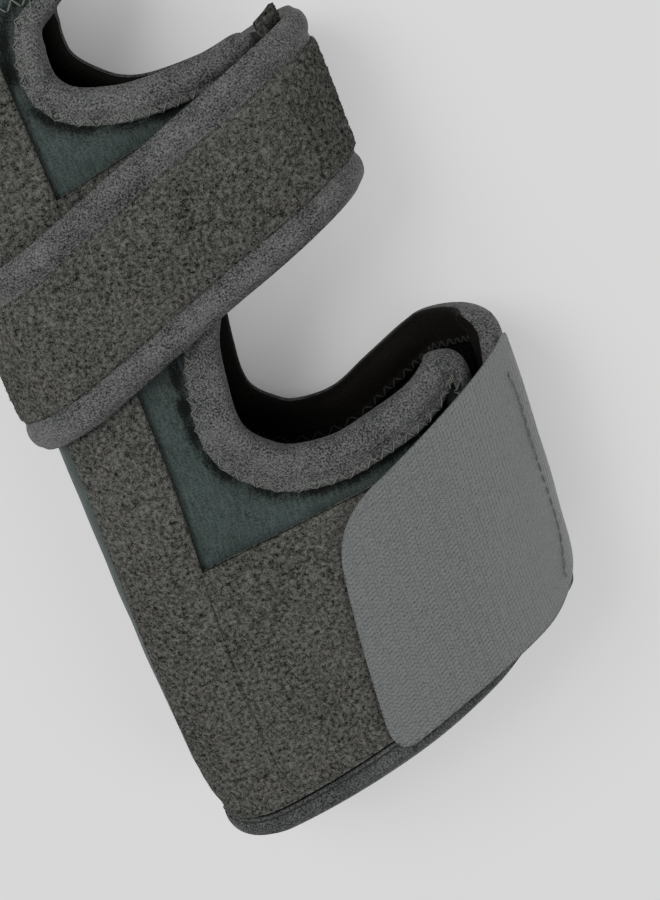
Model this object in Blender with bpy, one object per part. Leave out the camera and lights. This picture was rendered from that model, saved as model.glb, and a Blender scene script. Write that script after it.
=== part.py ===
"""Boxer splint: a padded brace for the wrist, the palm and the ring and little fingers.

It lies on its back with the front up. +Y runs from the wrist hem to the finger end, and +X from
the little-finger side, where the long spine is, to the thumb side, where the cuffs open. The foam
sleeve is one flat blank folded round a form. Its edges are bound with knit tape, loop tapes are
sewn on its front, a woven hook tab closes the wrist and a bound loop strap closes the palm.

Each piece is drawn on the form. u is the distance round the form from the spine's outer edge,
positive over the front and negative under the back, y is the distance from the hem, and h is the
height over the sleeve's outer face. Lengths are in metres.
"""

import math

import bmesh
import bpy
import numpy as np
from mathutils import Vector
from mathutils.geometry import delaunay_2d_cdt

# Layers
WALL = 0.0035
TAPE = 0.0009
LOOP = 0.0014
HOOK = 0.0012
STRAP_FOAM = 0.0012
GAP = 0.0004
SEAT = 0.0006

# Cuffs, along the splint
WRIST_LENGTH = 0.0798
THUMB_OPENING = 0.0327
PALM_LENGTH = 0.0485
FINGER_OPENING = 0.0180
FINGER_LENGTH = 0.0620

# Cuffs, across and through
SPINE_X = -0.0490
WRIST_WIDTH = 0.0950
WRIST_TAPER = 0.0043
WRIST_DEPTH = 0.0370
PALM_WIDTH = 0.0763
PALM_DEPTH = 0.0295
FINGER_WIDTH = 0.0450
FINGER_DEPTH = 0.0255
SPINE_CORNER = 0.0150
SPINE_LEAN = 0.0018
HEM_PULL = 0.0035
HEM_FLARE = 0.0200
HEM_LOWEST = 0.0015
HEM_RISE = 0.0255
HEM_EASE = 1.7

# Notches and flaps
THUMB_ROOT = 0.0398
FINGER_ROOT = 0.0327
WRIST_FLAP_SHORT = 0.0100
WRIST_BACK_WRAP = 0.0080
PALM_FLAP_SHORT = 0.0045
FINGER_BACK_DROP = 0.0037
PALM_BACK_SHORT = 0.0010
FLAP_CORNER = 0.0060
TUCK = 0.0030
TUCK_RUN = 0.0180
SEAM = 0.0003

# Bindings
BINDING_MARGIN = 0.0075
FINGER_MARGIN = 0.0055
HEM_MARGIN = 0.0042
END_MARGIN = 0.0060
FOLD = 0.0012

# Loop tapes
STRIP_FROM = 0.0138
STRIP_WIDTH = 0.0182
PANEL_BELOW_NOTCH = 0.0158
PANEL_SLOPE = 0.13
PANEL_SHORT = 0.0190
PALM_PANEL_BELOW_NOTCH = 0.0145
PALM_PANEL_SLOPE = 0.21
PALM_PANEL_WIDTH = 0.0370

# Hook tab
TAB_LENGTH = 0.0537
TAB_WIDTH = 0.0575
TAB_ROUNDING = 0.0110
TAB_PAST_SIDE = 0.0005
TAB_ABOVE_NOTCH = 0.0065

# Strap
STRAP_WIDTH = 0.0356
STRAP_SLOPE = 0.374
STRAP_COVER = 0.0060
STRAP_MARGIN = 0.0042
PATCH_SHOWS = 0.0022

# Mesh fineness
CORNER_STEPS = 8
FLAT_STEPS = 3
EDGE_STEP = 0.0048
ROW_STEP = 0.0098

# Heights of the layers over the sleeve
OVER = GAP + LOOP + GAP
STRAP_LOW_FACE = OVER + TAPE + GAP
STRAP_TOP_FACE = STRAP_LOW_FACE + STRAP_FOAM
STACK = STRAP_TOP_FACE + GAP + LOOP

# Places along the splint
STRAP_DEPTH = STRAP_WIDTH * math.hypot(1.0, STRAP_SLOPE)
STRAP_EDGE = WRIST_LENGTH + THUMB_OPENING
PALM_TOP = STRAP_EDGE + PALM_LENGTH
FINGER_LOW = PALM_TOP + FINGER_OPENING
LENGTH = FINGER_LOW + FINGER_LENGTH

# Places across the splint
PALM_FLAP_END = PALM_WIDTH - PALM_FLAP_SHORT

# The form's widths. Columns: place along, width, front and back corners on the thumb side as
# shares of the width.
WIDTHS = (
    (0.30 * WRIST_LENGTH, WRIST_WIDTH - WRIST_TAPER, 0.44, 0.21),
    (WRIST_LENGTH + 0.20 * THUMB_OPENING, WRIST_WIDTH, 0.44, 0.21),
    (STRAP_EDGE, PALM_WIDTH, 0.30, 0.24),
    (PALM_TOP + 0.25 * FINGER_OPENING, PALM_WIDTH, 0.30, 0.24),
    (FINGER_LOW, FINGER_WIDTH, 0.34, 0.34),
)

# The form's depths. Columns: place along, depth, lift off the floor as a share of STACK.
DEPTHS = (
    (0.35 * WRIST_LENGTH, WRIST_DEPTH, 0.35),
    (1.18 * WRIST_LENGTH, 0.25 * WRIST_DEPTH + 0.75 * PALM_DEPTH, 1.00),
    (PALM_TOP + 0.10 * PALM_LENGTH, PALM_DEPTH, 1.00),
    (LENGTH - 0.10 * FINGER_LENGTH, FINGER_DEPTH, 0.35),
)

# The thumb notch from the wrist flap's end to the strap. Columns: share of the way from the root
# to the flap's end, share of THUMB_OPENING above WRIST_LENGTH on the front, and the same on the
# back.
THUMB_EDGE = (
    (1.000, 0.250, 0.330),
    (0.850, 0.130, 0.275),
    (0.630, 0.055, 0.150),
    (0.410, 0.000, 0.025),
    (0.200, 0.034, 0.034),
    (0.090, 0.130, 0.130),
    (0.020, 0.245, 0.245),
    (0.000, 0.380, 0.380),
    (0.013, 0.565, 0.565),
    (0.050, 0.840, 0.840),
    (0.110, 1.020, 1.020),
    (0.200, 1.220, 1.220),
)

# The finger notch from the palm flap's end to the finger cuff. Columns: share of the way from the
# root to the palm flap's end, and share of FINGER_OPENING above the palm cuff's top.
FINGER_EDGE = (
    (1.000, 0.060),
    (0.720, -0.010),
    (0.400, -0.010),
    (0.220, 0.060),
    (0.090, 0.170),
    (0.020, 0.330),
    (0.000, 0.500),
    (0.010, 0.760),
    (0.050, 0.980),
    (0.150, 1.110),
    (0.230, 1.260),
)

# The hook tab's corners. Columns: share of TAB_LENGTH from the thumb side, share of TAB_WIDTH
# above its lowest point, share of TAB_ROUNDING.
TAB_CORNERS = (
    (0.010, 0.456, 0.04),
    (0.075, 1.304, 0.04),
    (0.912, 0.934, 1.00),
    (1.000, 0.000, 0.50),
    (0.560, 0.148, 1.00),
    (0.205, 0.249, 0.45),
    (0.089, 0.426, 0.15),
)

SLEEVE_INSIDE = -WALL
SPINE_POINT = 2 * CORNER_STEPS + FLAT_STEPS
CORNER = np.linspace(0.0, math.pi / 2, CORNER_STEPS + 1)


def material(name, colour, roughness):
    """A plain finish with the piece's colour."""
    finish = bpy.data.materials.new(name)
    finish.use_nodes = True
    shader = finish.node_tree.nodes["Principled BSDF"]
    shader.inputs["Base Color"].default_value = (*colour, 1.0)
    shader.inputs["Roughness"].default_value = roughness
    shader.inputs["Metallic"].default_value = 0.0
    return finish


def eased(share):
    """0 to 1 with level ends."""
    share = np.clip(share, 0.0, 1.0)
    return share * share * (3.0 - 2.0 * share)


def eased_rows(table, y):
    """The table's other columns at each y, eased from row to row."""
    table = np.array(table)
    y = np.clip(y, table[0, 0], table[-1, 0])
    row = np.clip(np.searchsorted(table[:, 0], y, side="right") - 1, 0, len(table) - 2)
    start = table[row]
    end = table[row + 1]
    share = eased((y - start[:, 0]) / (end[:, 0] - start[:, 0]))[:, None]
    return ((1 - share) * start + share * end)[:, 1:].T[..., None]


def sections(y):
    """Each y's section as x, z, the outward normal's two parts and u, one row for each y.

    The points run from the thumb side under the back to the spine and over the front. All four
    corners are quarters of ellipses as high as half the depth.
    """
    y = np.atleast_1d(y)
    width, front, back = eased_rows(WIDTHS, y)
    depth, lift = eased_rows(DEPTHS, y)
    front = front * width
    back = back * width
    lean = SPINE_LEAN * eased((y - WRIST_LENGTH / 2) / (STRAP_EDGE - WRIST_LENGTH / 2))
    spine = SPINE_X + (HEM_PULL * (1 - eased(y / HEM_FLARE)) + lean)[:, None]
    side = SPINE_X + width
    corner = np.full_like(width, SPINE_CORNER)
    half = depth / 2
    middle = lift * STACK + half
    c = np.cos(CORNER)
    s = np.sin(CORNER)
    x = (side - back * (1 - c), spine + corner * (1 - s), spine + corner * (1 - c), side - front * (1 - s))
    z = (middle - half * s, middle - half * c, middle + half * s, middle + half * c)
    nx = (half * c, -half * s, -half * c, half * s)
    nz = (-back * s, -corner * c, corner * s, front * c)
    parts = []
    for p in (x, z, nx, nz):
        under = np.linspace(p[0][:, -1], p[1][:, 0], FLAT_STEPS + 1, axis=1)[:, 1:-1]
        over = np.linspace(p[2][:, -1], p[3][:, 0], FLAT_STEPS + 1, axis=1)[:, 1:-1]
        parts.append(np.concatenate((p[0], under, p[1], p[2][:, 1:], over, p[3]), axis=1))
    size = np.hypot(parts[2], parts[3])
    parts[2] /= size
    parts[3] /= size
    run = np.hypot(np.diff(parts[0], axis=1), np.diff(parts[1], axis=1))
    u = np.concatenate((np.zeros_like(width), np.cumsum(run, axis=1)), axis=1)
    return (*parts, u - u[:, SPINE_POINT : SPINE_POINT + 1])


def tucked(u, y, side_u):
    """How far the wrist's front flap dips at (u, y), so that its end lies inside the back panel."""
    start = side_u - WRIST_FLAP_SHORT - TUCK_RUN
    along = 1.0 - eased((y - WRIST_LENGTH) / THUMB_OPENING * 2.0 - 0.4)
    return TUCK * eased((u - start) / TUCK_RUN) * along * (u > 0)


def on_form(u, y, h, tuck=True):
    """World points of pattern points, where u past the thumb side goes on round the form."""
    u, y, h = (np.ravel(part) for part in np.broadcast_arrays(u, y, h))
    x, z, nx, nz, d = sections(y)
    first = d[:, 0]
    last = d[:, -1]
    h = h - (tucked(u, y, last) if tuck else 0.0)
    round_u = first + np.mod(u - first, last - first)
    k = np.clip((d <= round_u[:, None]).sum(axis=1) - 1, 0, d.shape[1] - 2)
    row = np.arange(len(u))
    share = (round_u - d[row, k]) / (d[row, k + 1] - d[row, k])
    x, z, nx, nz = ((1 - share) * p[row, k] + share * p[row, k + 1] for p in (x, z, nx, nz))
    size = np.hypot(nx, nz)
    return np.stack((x + h * nx / size, y, z + h * nz / size), axis=1)


def side_u(y, side):
    """u of the thumb side over the front (side 1) or under the back (side -1) at one y."""
    return sections(y)[4][0, -1 if side > 0 else 0]


def drawn(points, side):
    """Pattern points (u, y) of plan points, which give the distance across from the spine."""
    points = np.array(points)
    x, _, _, _, d = sections(points[:, 1])
    half = slice(SPINE_POINT, None, 1 if side > 0 else -1)
    u = [np.interp(SPINE_X + a, row_x[half], row_d[half]) for a, row_x, row_d in zip(points[:, 0], x, d)]
    return np.stack((u, points[:, 1]), axis=1)


def smooth(points, step=EDGE_STEP):
    """A Catmull-Rom curve through the points, with a point about every step."""
    points = np.array(points)
    ends = np.vstack((2 * points[0] - points[1], points, 2 * points[-1] - points[-2]))
    t = np.linspace(0.0, 1.0, 12, endpoint=False)[:, None]
    fine = [
        0.5
        * (
            2 * b
            + (c - a) * t
            + (2 * a - 5 * b + 4 * c - d) * t**2
            + (3 * b - a - 3 * c + d) * t**3
        )
        for a, b, c, d in zip(ends, ends[1:], ends[2:], ends[3:])
    ]
    return spaced(np.vstack((*fine, points[-1:])), step)


def spaced(points, step):
    """The same line with points at even steps."""
    points = np.array(points)
    length = np.concatenate(([0.0], np.cumsum(np.hypot(*np.diff(points, axis=0).T))))
    count = max(1, round(length[-1] / step))
    marks = np.linspace(0.0, length[-1], count + 1)
    return np.stack([np.interp(marks, length, column) for column in points.T], axis=1)


def rounded(corners, radii, steps=5):
    """A closed outline with each corner replaced by a curve that starts a radius from it."""
    corners = np.array(corners)
    t = np.linspace(0.0, 1.0, steps)[:, None]
    line = []
    befores = np.roll(corners, 1, 0)
    afters = np.roll(corners, -1, 0)
    for before, corner, after, radius in zip(befores, corners, afters, radii):
        start = corner + radius * (before - corner) / np.linalg.norm(before - corner)
        end = corner + radius * (after - corner) / np.linalg.norm(after - corner)
        line.append((1 - t) ** 2 * start + 2 * t * (1 - t) * corner + t**2 * end)
    return np.vstack(line)


def hem_height(u):
    """The hem's y at each u: it rises to the thumb side by a power of the distance across."""
    inside = np.clip(u, side_u(HEM_FLARE, -1), side_u(HEM_FLARE, 1))
    across = on_form(inside, HEM_FLARE, 0.0, tuck=False)[:, 0]
    share = np.clip((across - SPINE_X) / (WRIST_WIDTH - WRIST_TAPER), 0.0, 1.0)
    return HEM_LOWEST + HEM_RISE * share**HEM_EASE


def palm_edge(across):
    """The palm cuff's lower edge, which the strap covers."""
    return STRAP_EDGE + STRAP_COVER + STRAP_SLOPE * (across - PALM_WIDTH / 2)


def thumb_notch(side):
    """The thumb notch's edge on one side of the splint, from the wrist to the palm."""
    flap_end = side_u(WRIST_LENGTH, 1) - WRIST_FLAP_SHORT - FLAP_CORNER
    reach = on_form(flap_end, WRIST_LENGTH, 0.0, tuck=False)[0, 0] - SPINE_X - THUMB_ROOT
    column = 1 if side > 0 else 2
    rows = [
        (THUMB_ROOT + row[0] * reach, WRIST_LENGTH + row[column] * THUMB_OPENING)
        for row in THUMB_EDGE
    ]
    hidden = [(a, palm_edge(a)) for a in (0.68 * PALM_WIDTH, 0.80 * PALM_WIDTH, PALM_FLAP_END)]
    line = drawn(rows + hidden, side)
    if side > 0:
        return smooth(line)
    top = WRIST_LENGTH + THUMB_EDGE[0][2] * THUMB_OPENING
    around = side_u(top, -1)
    wrap = ((around - WRIST_BACK_WRAP + FLAP_CORNER / 2, top), (around, top))
    palm_end = (side_u(STRAP_EDGE, -1) + PALM_BACK_SHORT, line[-1][1])
    return smooth(np.vstack((wrap, line, (palm_end,))))


def flap_corners():
    """The rounded top corners of the wrist's front flap and of its back panel."""
    front = thumb_notch(1)[0]
    back = thumb_notch(-1)[0]
    end = side_u(front[1], 1) - WRIST_FLAP_SHORT
    over = ((end, front[1] - 1.6 * FLAP_CORNER), (end - 0.25 * FLAP_CORNER, front[1] - 0.5 * FLAP_CORNER))
    end = side_u(back[1], -1) - WRIST_BACK_WRAP
    under = ((end + 0.15 * FLAP_CORNER, back[1] - 0.25 * FLAP_CORNER), (end, back[1] - FLAP_CORNER))
    return np.array(over), np.array(under)


def finger_notch(side):
    """The finger notch's edge on one side of the splint, from the palm to the finger cuff."""
    reach = PALM_FLAP_END - FINGER_ROOT
    drop = 0.0 if side > 0 else FINGER_BACK_DROP
    rows = [
        (FINGER_ROOT + a * reach, PALM_TOP + b * FINGER_OPENING - drop * eased(a / 0.3) * (b < 0.5))
        for a, b in FINGER_EDGE
    ]
    line = drawn(rows, side)
    top = FINGER_LOW + 0.50 * FINGER_OPENING
    end = (side_u(top, side) - side * SEAM / 2, top)
    if side > 0:
        return smooth(np.vstack((line, (end,))))
    palm_end = (side_u(rows[0][1], -1) + PALM_BACK_SHORT, rows[0][1])
    return smooth(np.vstack(((palm_end,), line, (end,))))


def bends(low, high, y):
    """Values of u from low to high with each bend of the form's section at y between them."""
    d = sections(y)[4][0]
    girth = d[-1] - d[0]
    marks = np.concatenate((d[:-1] - girth, d, d[1:] + girth))
    marks = marks[(marks > low + GAP) & (marks < high - GAP)]
    return np.concatenate(([low], marks, [high]))


def hem_line():
    """The hem from the back panel's end to the front flap's end."""
    low = side_u(HEM_FLARE, -1) - WRIST_BACK_WRAP
    high = side_u(HEM_FLARE, 1) - WRIST_FLAP_SHORT
    u = bends(low, high, HEM_FLARE)
    return np.stack((u, hem_height(u)), axis=1)


def sleeve_outline():
    """The blank's outline, from the hem up the front side and down the back side."""
    thumb_front = thumb_notch(1)
    finger_front = finger_notch(1)
    finger_back = finger_notch(-1)
    thumb_back = thumb_notch(-1)
    seam_y = np.linspace(finger_front[-1, 1], LENGTH, round(FINGER_LENGTH / ROW_STEP))[1:]
    seam_front = np.array([(side_u(y, 1) - SEAM / 2, y) for y in seam_y])
    seam_back = np.array([(side_u(y, -1) + SEAM / 2, y) for y in seam_y])
    end = bends(seam_back[-1, 0], seam_front[-1, 0], LENGTH)[-2:0:-1]
    end = np.stack((end, np.full_like(end, LENGTH)), axis=1)
    palm_front = spaced((thumb_front[-1], finger_front[0]), ROW_STEP)[1:-1]
    palm_back = spaced((finger_back[0], thumb_back[-1]), ROW_STEP)[1:-1]
    hem = hem_line()
    front_corner, back_corner = flap_corners()
    flap_end = spaced((hem[-1], front_corner[0]), ROW_STEP)[1:]
    back_end = spaced((back_corner[-1], hem[0]), ROW_STEP)[:-1]
    up = (hem, flap_end, front_corner[1:], thumb_front, palm_front, finger_front, seam_front, end)
    down = (seam_back[::-1], finger_back[::-1], palm_back, thumb_back[::-1], back_corner[:-1], back_end)
    return np.vstack((*up, *down))


def inside(points, outline, clear):
    """Which points lie in the outline and at least clear from its edge."""
    a = outline
    b = np.roll(outline, -1, axis=0)
    p = points[:, None]
    crosses = (a[:, 1] > p[..., 1]) != (b[:, 1] > p[..., 1])
    rise = np.where(b[:, 1] == a[:, 1], 1.0, b[:, 1] - a[:, 1])
    left = p[..., 0] < a[:, 0] + (p[..., 1] - a[:, 1]) * (b[:, 0] - a[:, 0]) / rise
    share = np.clip(((p - a) * (b - a)).sum(-1) / ((b - a) ** 2).sum(-1), 0.0, 1.0)
    off = np.linalg.norm(p - a - share[..., None] * (b - a), axis=-1).min(axis=1)
    return ((crosses & left).sum(axis=1) % 2 == 1) & (off > clear)


def pattern_mesh(outline):
    """Points and triangles that fill a pattern outline, with rows and columns on the form's bends."""
    low = outline.min(axis=0)
    high = outline.max(axis=0)
    rows = np.linspace(low[1], high[1], max(3, round((high[1] - low[1]) / ROW_STEP) + 1))[1:-1]
    grid = []
    for y, d in zip(rows, sections(rows)[4]):
        u = np.concatenate((d, d[1:5] - d[0] + d[-1], d[-5:-1] - d[-1] + d[0]))
        grid.append(np.stack((u, np.full_like(u, y)), axis=1))
    grid = np.vstack(grid)
    grid = grid[inside(grid, outline, 0.35 * EDGE_STEP)]
    count = len(outline)
    points = [Vector(point) for point in np.vstack((outline, grid))]
    edges = [(k, (k + 1) % count) for k in range(count)]
    points, _, faces, *_ = delaunay_2d_cdt(points, edges, [], 1, 1e-7)
    return np.array([tuple(point) for point in points]), np.array([tuple(face) for face in faces])


def build(name, points, faces, finish):
    """A closed mesh object with its faces turned outwards."""
    mesh = bpy.data.meshes.new(name)
    mesh.from_pydata([tuple(point) for point in points], [], [tuple(face) for face in faces])
    work = bmesh.new()
    work.from_mesh(mesh)
    bmesh.ops.recalc_face_normals(work, faces=work.faces)
    work.to_mesh(mesh)
    work.free()
    mesh.shade_smooth()
    mesh.set_sharp_from_angle(angle=math.radians(40))
    mesh.materials.append(finish)
    piece = bpy.data.objects.new(name, mesh)
    bpy.context.collection.objects.link(piece)
    return piece


def sheet(name, outline, low, high, finish, tuck=True):
    """A flat-cut layer laid on the form between two heights."""
    pattern, faces = pattern_mesh(outline)
    count = len(pattern)
    points = np.vstack([on_form(pattern[:, 0], pattern[:, 1], h, tuck) for h in (high, low)])
    ends = np.concatenate((faces[:, (0, 1)], faces[:, (1, 2)], faces[:, (2, 0)]))
    _, where, times = np.unique(np.sort(ends, axis=1), axis=0, return_index=True, return_counts=True)
    a, b = ends[where[times == 1]].T
    rim = np.stack((b, a, a + count, b + count), axis=1)
    return build(name, points, [*faces, *(faces[:, ::-1] + count), *rim], finish)


def ring_mesh(name, rings, closed, finish):
    """A tape carried along a path: each ring lists its outer points and then its inner ones."""
    stations, around, _ = rings.shape
    half = around // 2
    index = np.arange(stations * around).reshape(stations, around)
    start = index if closed else index[:-1]
    end = np.roll(index, -1, axis=0) if closed else index[1:]
    sides = np.stack((start, np.roll(start, -1, axis=1), np.roll(end, -1, axis=1), end), axis=-1)
    faces = list(sides.reshape(-1, 4))
    if not closed:
        for cap in (index[0], index[-1]):
            outer = cap[:half]
            inner = cap[: half - 1 : -1]
            faces += list(np.stack((outer[:-1], outer[1:], inner[1:], inner[:-1]), axis=1))
    return build(name, rings.reshape(-1, 3), faces, finish)


def fold_profile(low, high, tape, margin, seat):
    """A folded tape's section as distances in from the bound edge and heights, outer side first."""
    top = high + seat
    bottom = low - seat
    quarter = (top - bottom) / 4
    bulge = -seat - tape - 0.3 * FOLD
    outer = (
        (margin, top + tape),
        (0.2 * FOLD, top + tape),
        (bulge, top - quarter),
        (bulge, bottom + quarter),
        (0.2 * FOLD, bottom - tape),
        (margin, bottom - tape),
    )
    inner = (
        (margin, bottom),
        (0.2 * FOLD, bottom),
        (-seat, bottom + 0.3 * tape),
        (-seat, top - 0.3 * tape),
        (0.2 * FOLD, top),
        (margin, top),
    )
    return np.array(outer + inner)


def bound_edge(name, path, margin, finish, closed=False):
    """Tape folded over the sleeve's edge along a path that has the sleeve on its left."""
    ahead = np.roll(path, -1, axis=0)
    behind = np.roll(path, 1, axis=0)
    if not closed:
        ahead[-1] = path[-1]
        behind[0] = path[0]
    girth = np.array([side_u(y, 1) - side_u(y, -1) for y in path[:, 1]])
    along = ahead - behind
    along[:, 0] -= girth * np.round(along[:, 0] / girth)
    along /= np.hypot(*along.T)[:, None]
    profile = fold_profile(SLEEVE_INSIDE, 0.0, TAPE, margin, SEAT)
    u = path[:, :1] - along[:, 1:] * profile[:, 0]
    y = path[:, 1:] + along[:, :1] * profile[:, 0]
    h = np.broadcast_to(profile[:, 1], u.shape)
    rings = on_form(u, y, h).reshape(*u.shape, 3)
    return ring_mesh(name, rings, closed, finish)


def strap_middle(x):
    """The strap's centre line: y at each x, a straight slope in plan."""
    return STRAP_EDGE + STRAP_DEPTH / 2 + STRAP_SLOPE * (x - SPINE_X - PALM_WIDTH / 2)


def strap_half():
    """Half the width of the strap's base, which the folded tape covers at both edges."""
    return STRAP_WIDTH / 2 - GAP - TAPE - 0.3 * FOLD


def strap_ring(name, across, heights, finish):
    """A band round the palm: points at distances across from the centre line, at heights."""
    middle = strap_middle(sections(PALM_TOP)[0][0, :-1])
    rings = []
    for distance, height in zip(across, heights):
        y = middle + distance * STRAP_DEPTH / STRAP_WIDTH
        x, z, nx, nz, _ = sections(y)
        k = np.arange(len(y))
        rings.append(np.stack((x[k, k] + height * nx[k, k], y, z[k, k] + height * nz[k, k]), axis=1))
    return ring_mesh(name, np.stack(rings, axis=1), True, finish)


def strap_band(name, half_width, low, high, finish):
    """A flat layer of the strap."""
    columns = (-half_width, 0.0, half_width)
    return strap_ring(name, (*columns, *columns[::-1]), (high,) * 3 + (low,) * 3, finish)


def strap_binding(name, side, finish):
    """Tape folded over one edge of the strap."""
    profile = fold_profile(STRAP_LOW_FACE, STRAP_TOP_FACE, TAPE, STRAP_MARGIN, GAP)
    return strap_ring(name, side * (strap_half() - profile[:, 0]), profile[:, 1], finish)


def loop_outline(low_edge, high_edge):
    """A closed outline from a lower and an upper line that both run away from the spine."""
    far_end = spaced((low_edge[-1], high_edge[-1]), ROW_STEP)[1:-1]
    near_end = spaced((high_edge[0], low_edge[0]), ROW_STEP)[1:-1]
    return np.vstack((low_edge, far_end, high_edge[::-1], near_end))


def loop_strip():
    """The loop tape along the spine."""
    u = bends(STRIP_FROM, STRIP_FROM + STRIP_WIDTH, HEM_FLARE)
    low = np.stack((u, hem_height(u) + HEM_MARGIN + 2 * GAP), axis=1)
    u = bends(STRIP_FROM, STRIP_FROM + STRIP_WIDTH, LENGTH)
    high = np.stack((u, np.full_like(u, LENGTH - END_MARGIN - 2 * GAP)), axis=1)
    return loop_outline(low, high)


def wrist_panel():
    """The loop panel across the wrist, from the spine tape to the front flap's end."""
    first = STRIP_FROM + STRIP_WIDTH + GAP
    last = side_u(HEM_FLARE, 1) - WRIST_FLAP_SHORT - PANEL_SHORT
    u = bends(first, last, HEM_FLARE)
    low = np.stack((u, hem_height(u) + HEM_MARGIN + 4 * GAP), axis=1)
    high = np.stack((u, WRIST_LENGTH - PANEL_BELOW_NOTCH + PANEL_SLOPE * (u - first)), axis=1)
    return loop_outline(low, high)


def palm_panel():
    """The loop panel across the palm, mostly under the strap."""
    first = STRIP_FROM + STRIP_WIDTH + GAP
    u = bends(first, first + PALM_PANEL_WIDTH, PALM_TOP)
    across = on_form(u, STRAP_EDGE, 0.0)[:, 0] - SPINE_X
    clear = BINDING_MARGIN + 4 * GAP
    low = np.stack((u, palm_edge(across) + clear), axis=1)
    high = np.stack((u, PALM_TOP - PALM_PANEL_BELOW_NOTCH + PALM_PANEL_SLOPE * (u - first)), axis=1)
    return loop_outline(low, high)


def hook_tab():
    """The woven tab from the back panel's end over the front flap."""
    start = side_u(HEM_FLARE, 1) + TAB_PAST_SIDE
    lowest = WRIST_LENGTH + TAB_ABOVE_NOTCH - TAB_WIDTH * max(b for _, b, _ in TAB_CORNERS)
    corners = [(start - a * TAB_LENGTH, lowest + b * TAB_WIDTH) for a, b, _ in TAB_CORNERS]
    outline = rounded(corners, [c * TAB_ROUNDING for *_, c in TAB_CORNERS])
    closed = np.vstack((outline, outline[:1]))
    pieces = [spaced(closed[k : k + 2], EDGE_STEP)[:-1] for k in range(len(outline))]
    return np.vstack(pieces)


def hook_patch():
    """The hook patch inside the strap at the thumb side, which shows above the strap's edge."""
    start = drawn(((PALM_FLAP_END, PALM_TOP),), 1)[0, 0] + 4 * GAP
    end = side_u(PALM_TOP, 1) + PALM_BACK_SHORT - 4 * GAP
    u = bends(start, end, PALM_TOP)
    x = on_form(u, PALM_TOP, 0.0)[:, 0]
    high = strap_middle(x) + STRAP_DEPTH / 2 + PATCH_SHOWS
    low = strap_middle(x)
    return loop_outline(np.stack((u, low), axis=1), np.stack((u, high), axis=1))


def finger_binding_path():
    """The finger notch's edge right round: palm front, finger cuff and palm back."""
    front = finger_notch(1)
    back = finger_notch(-1)[::-1]
    return np.vstack((front[:-1], ((front[-1] + (SEAM / 2, 0.0)),), back[1:]))


def on_origin(pieces):
    """Moves the splint so that the middle of its box's base is the origin."""
    corners = np.array([vertex.co for piece in pieces for vertex in piece.data.vertices])
    low = corners.min(axis=0)
    high = corners.max(axis=0)
    shift = Vector(((low[0] + high[0]) / -2, (low[1] + high[1]) / -2, -low[2]))
    for piece in pieces:
        for vertex in piece.data.vertices:
            vertex.co += shift


def make():
    for leftover in list(bpy.data.objects):
        bpy.data.objects.remove(leftover)
    jersey = material("jersey_foam", (0.045, 0.060, 0.056), 0.75)
    knit = material("knit_tape", (0.075, 0.072, 0.068), 0.80)
    pile = material("loop_pile", (0.095, 0.092, 0.082), 0.95)
    woven = material("hook_weave", (0.125, 0.130, 0.130), 0.70)
    hem_tape = material("hem_tape", (0.045, 0.048, 0.050), 0.75)

    hem = hem_line()
    end_u = bends(side_u(LENGTH, -1), side_u(LENGTH, 1), LENGTH)[:-1]
    end_line = np.stack((end_u, np.full_like(end_u, LENGTH)), axis=1)
    face_half = strap_half() - STRAP_MARGIN - 2 * GAP
    pieces = [
        sheet("sleeve", sleeve_outline(), SLEEVE_INSIDE, 0.0, jersey),
        bound_edge("thumb_notch_front_binding", thumb_notch(1), BINDING_MARGIN, knit),
        bound_edge("thumb_notch_back_binding", thumb_notch(-1)[::-1], BINDING_MARGIN, knit),
        bound_edge("finger_notch_binding", finger_binding_path(), FINGER_MARGIN, knit),
        bound_edge("wrist_hem_binding", hem, HEM_MARGIN, hem_tape),
        bound_edge("finger_end_binding", end_line[::-1], END_MARGIN, hem_tape, closed=True),
        sheet("spine_loop_strip", loop_strip(), GAP, GAP + LOOP, pile),
        sheet("wrist_loop_panel", wrist_panel(), GAP, GAP + LOOP, pile),
        sheet("palm_loop_panel", palm_panel(), GAP, GAP + LOOP, pile),
        sheet("wrist_hook_tab", hook_tab(), OVER, OVER + HOOK, woven, tuck=False),
        sheet("strap_hook_patch", hook_patch(), GAP, GAP + LOOP, woven, tuck=False),
        strap_band("strap_base", strap_half(), STRAP_LOW_FACE, STRAP_TOP_FACE, knit),
        strap_band("strap_loop_face", face_half, STRAP_TOP_FACE + GAP, STACK, pile),
        strap_binding("strap_upper_binding", 1, knit),
        strap_binding("strap_lower_binding", -1, knit),
    ]
    on_origin(pieces)


make()
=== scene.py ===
"""Boxer splint: a padded brace for the wrist, the palm and the ring and little fingers.

The splint lies on its back on a pale table. +Y runs from the wrist hem to the finger end and +X
from the little-finger side, where the spine is, to the thumb side, where the cuffs open. Cloth is
drawn flat on the form: u is the distance round it from the spine's outer edge, positive over the
front and negative under the back, y is the distance from the hem, and h is the height over the
sleeve's knitted face. Lengths are in metres.
"""

import math

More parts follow.
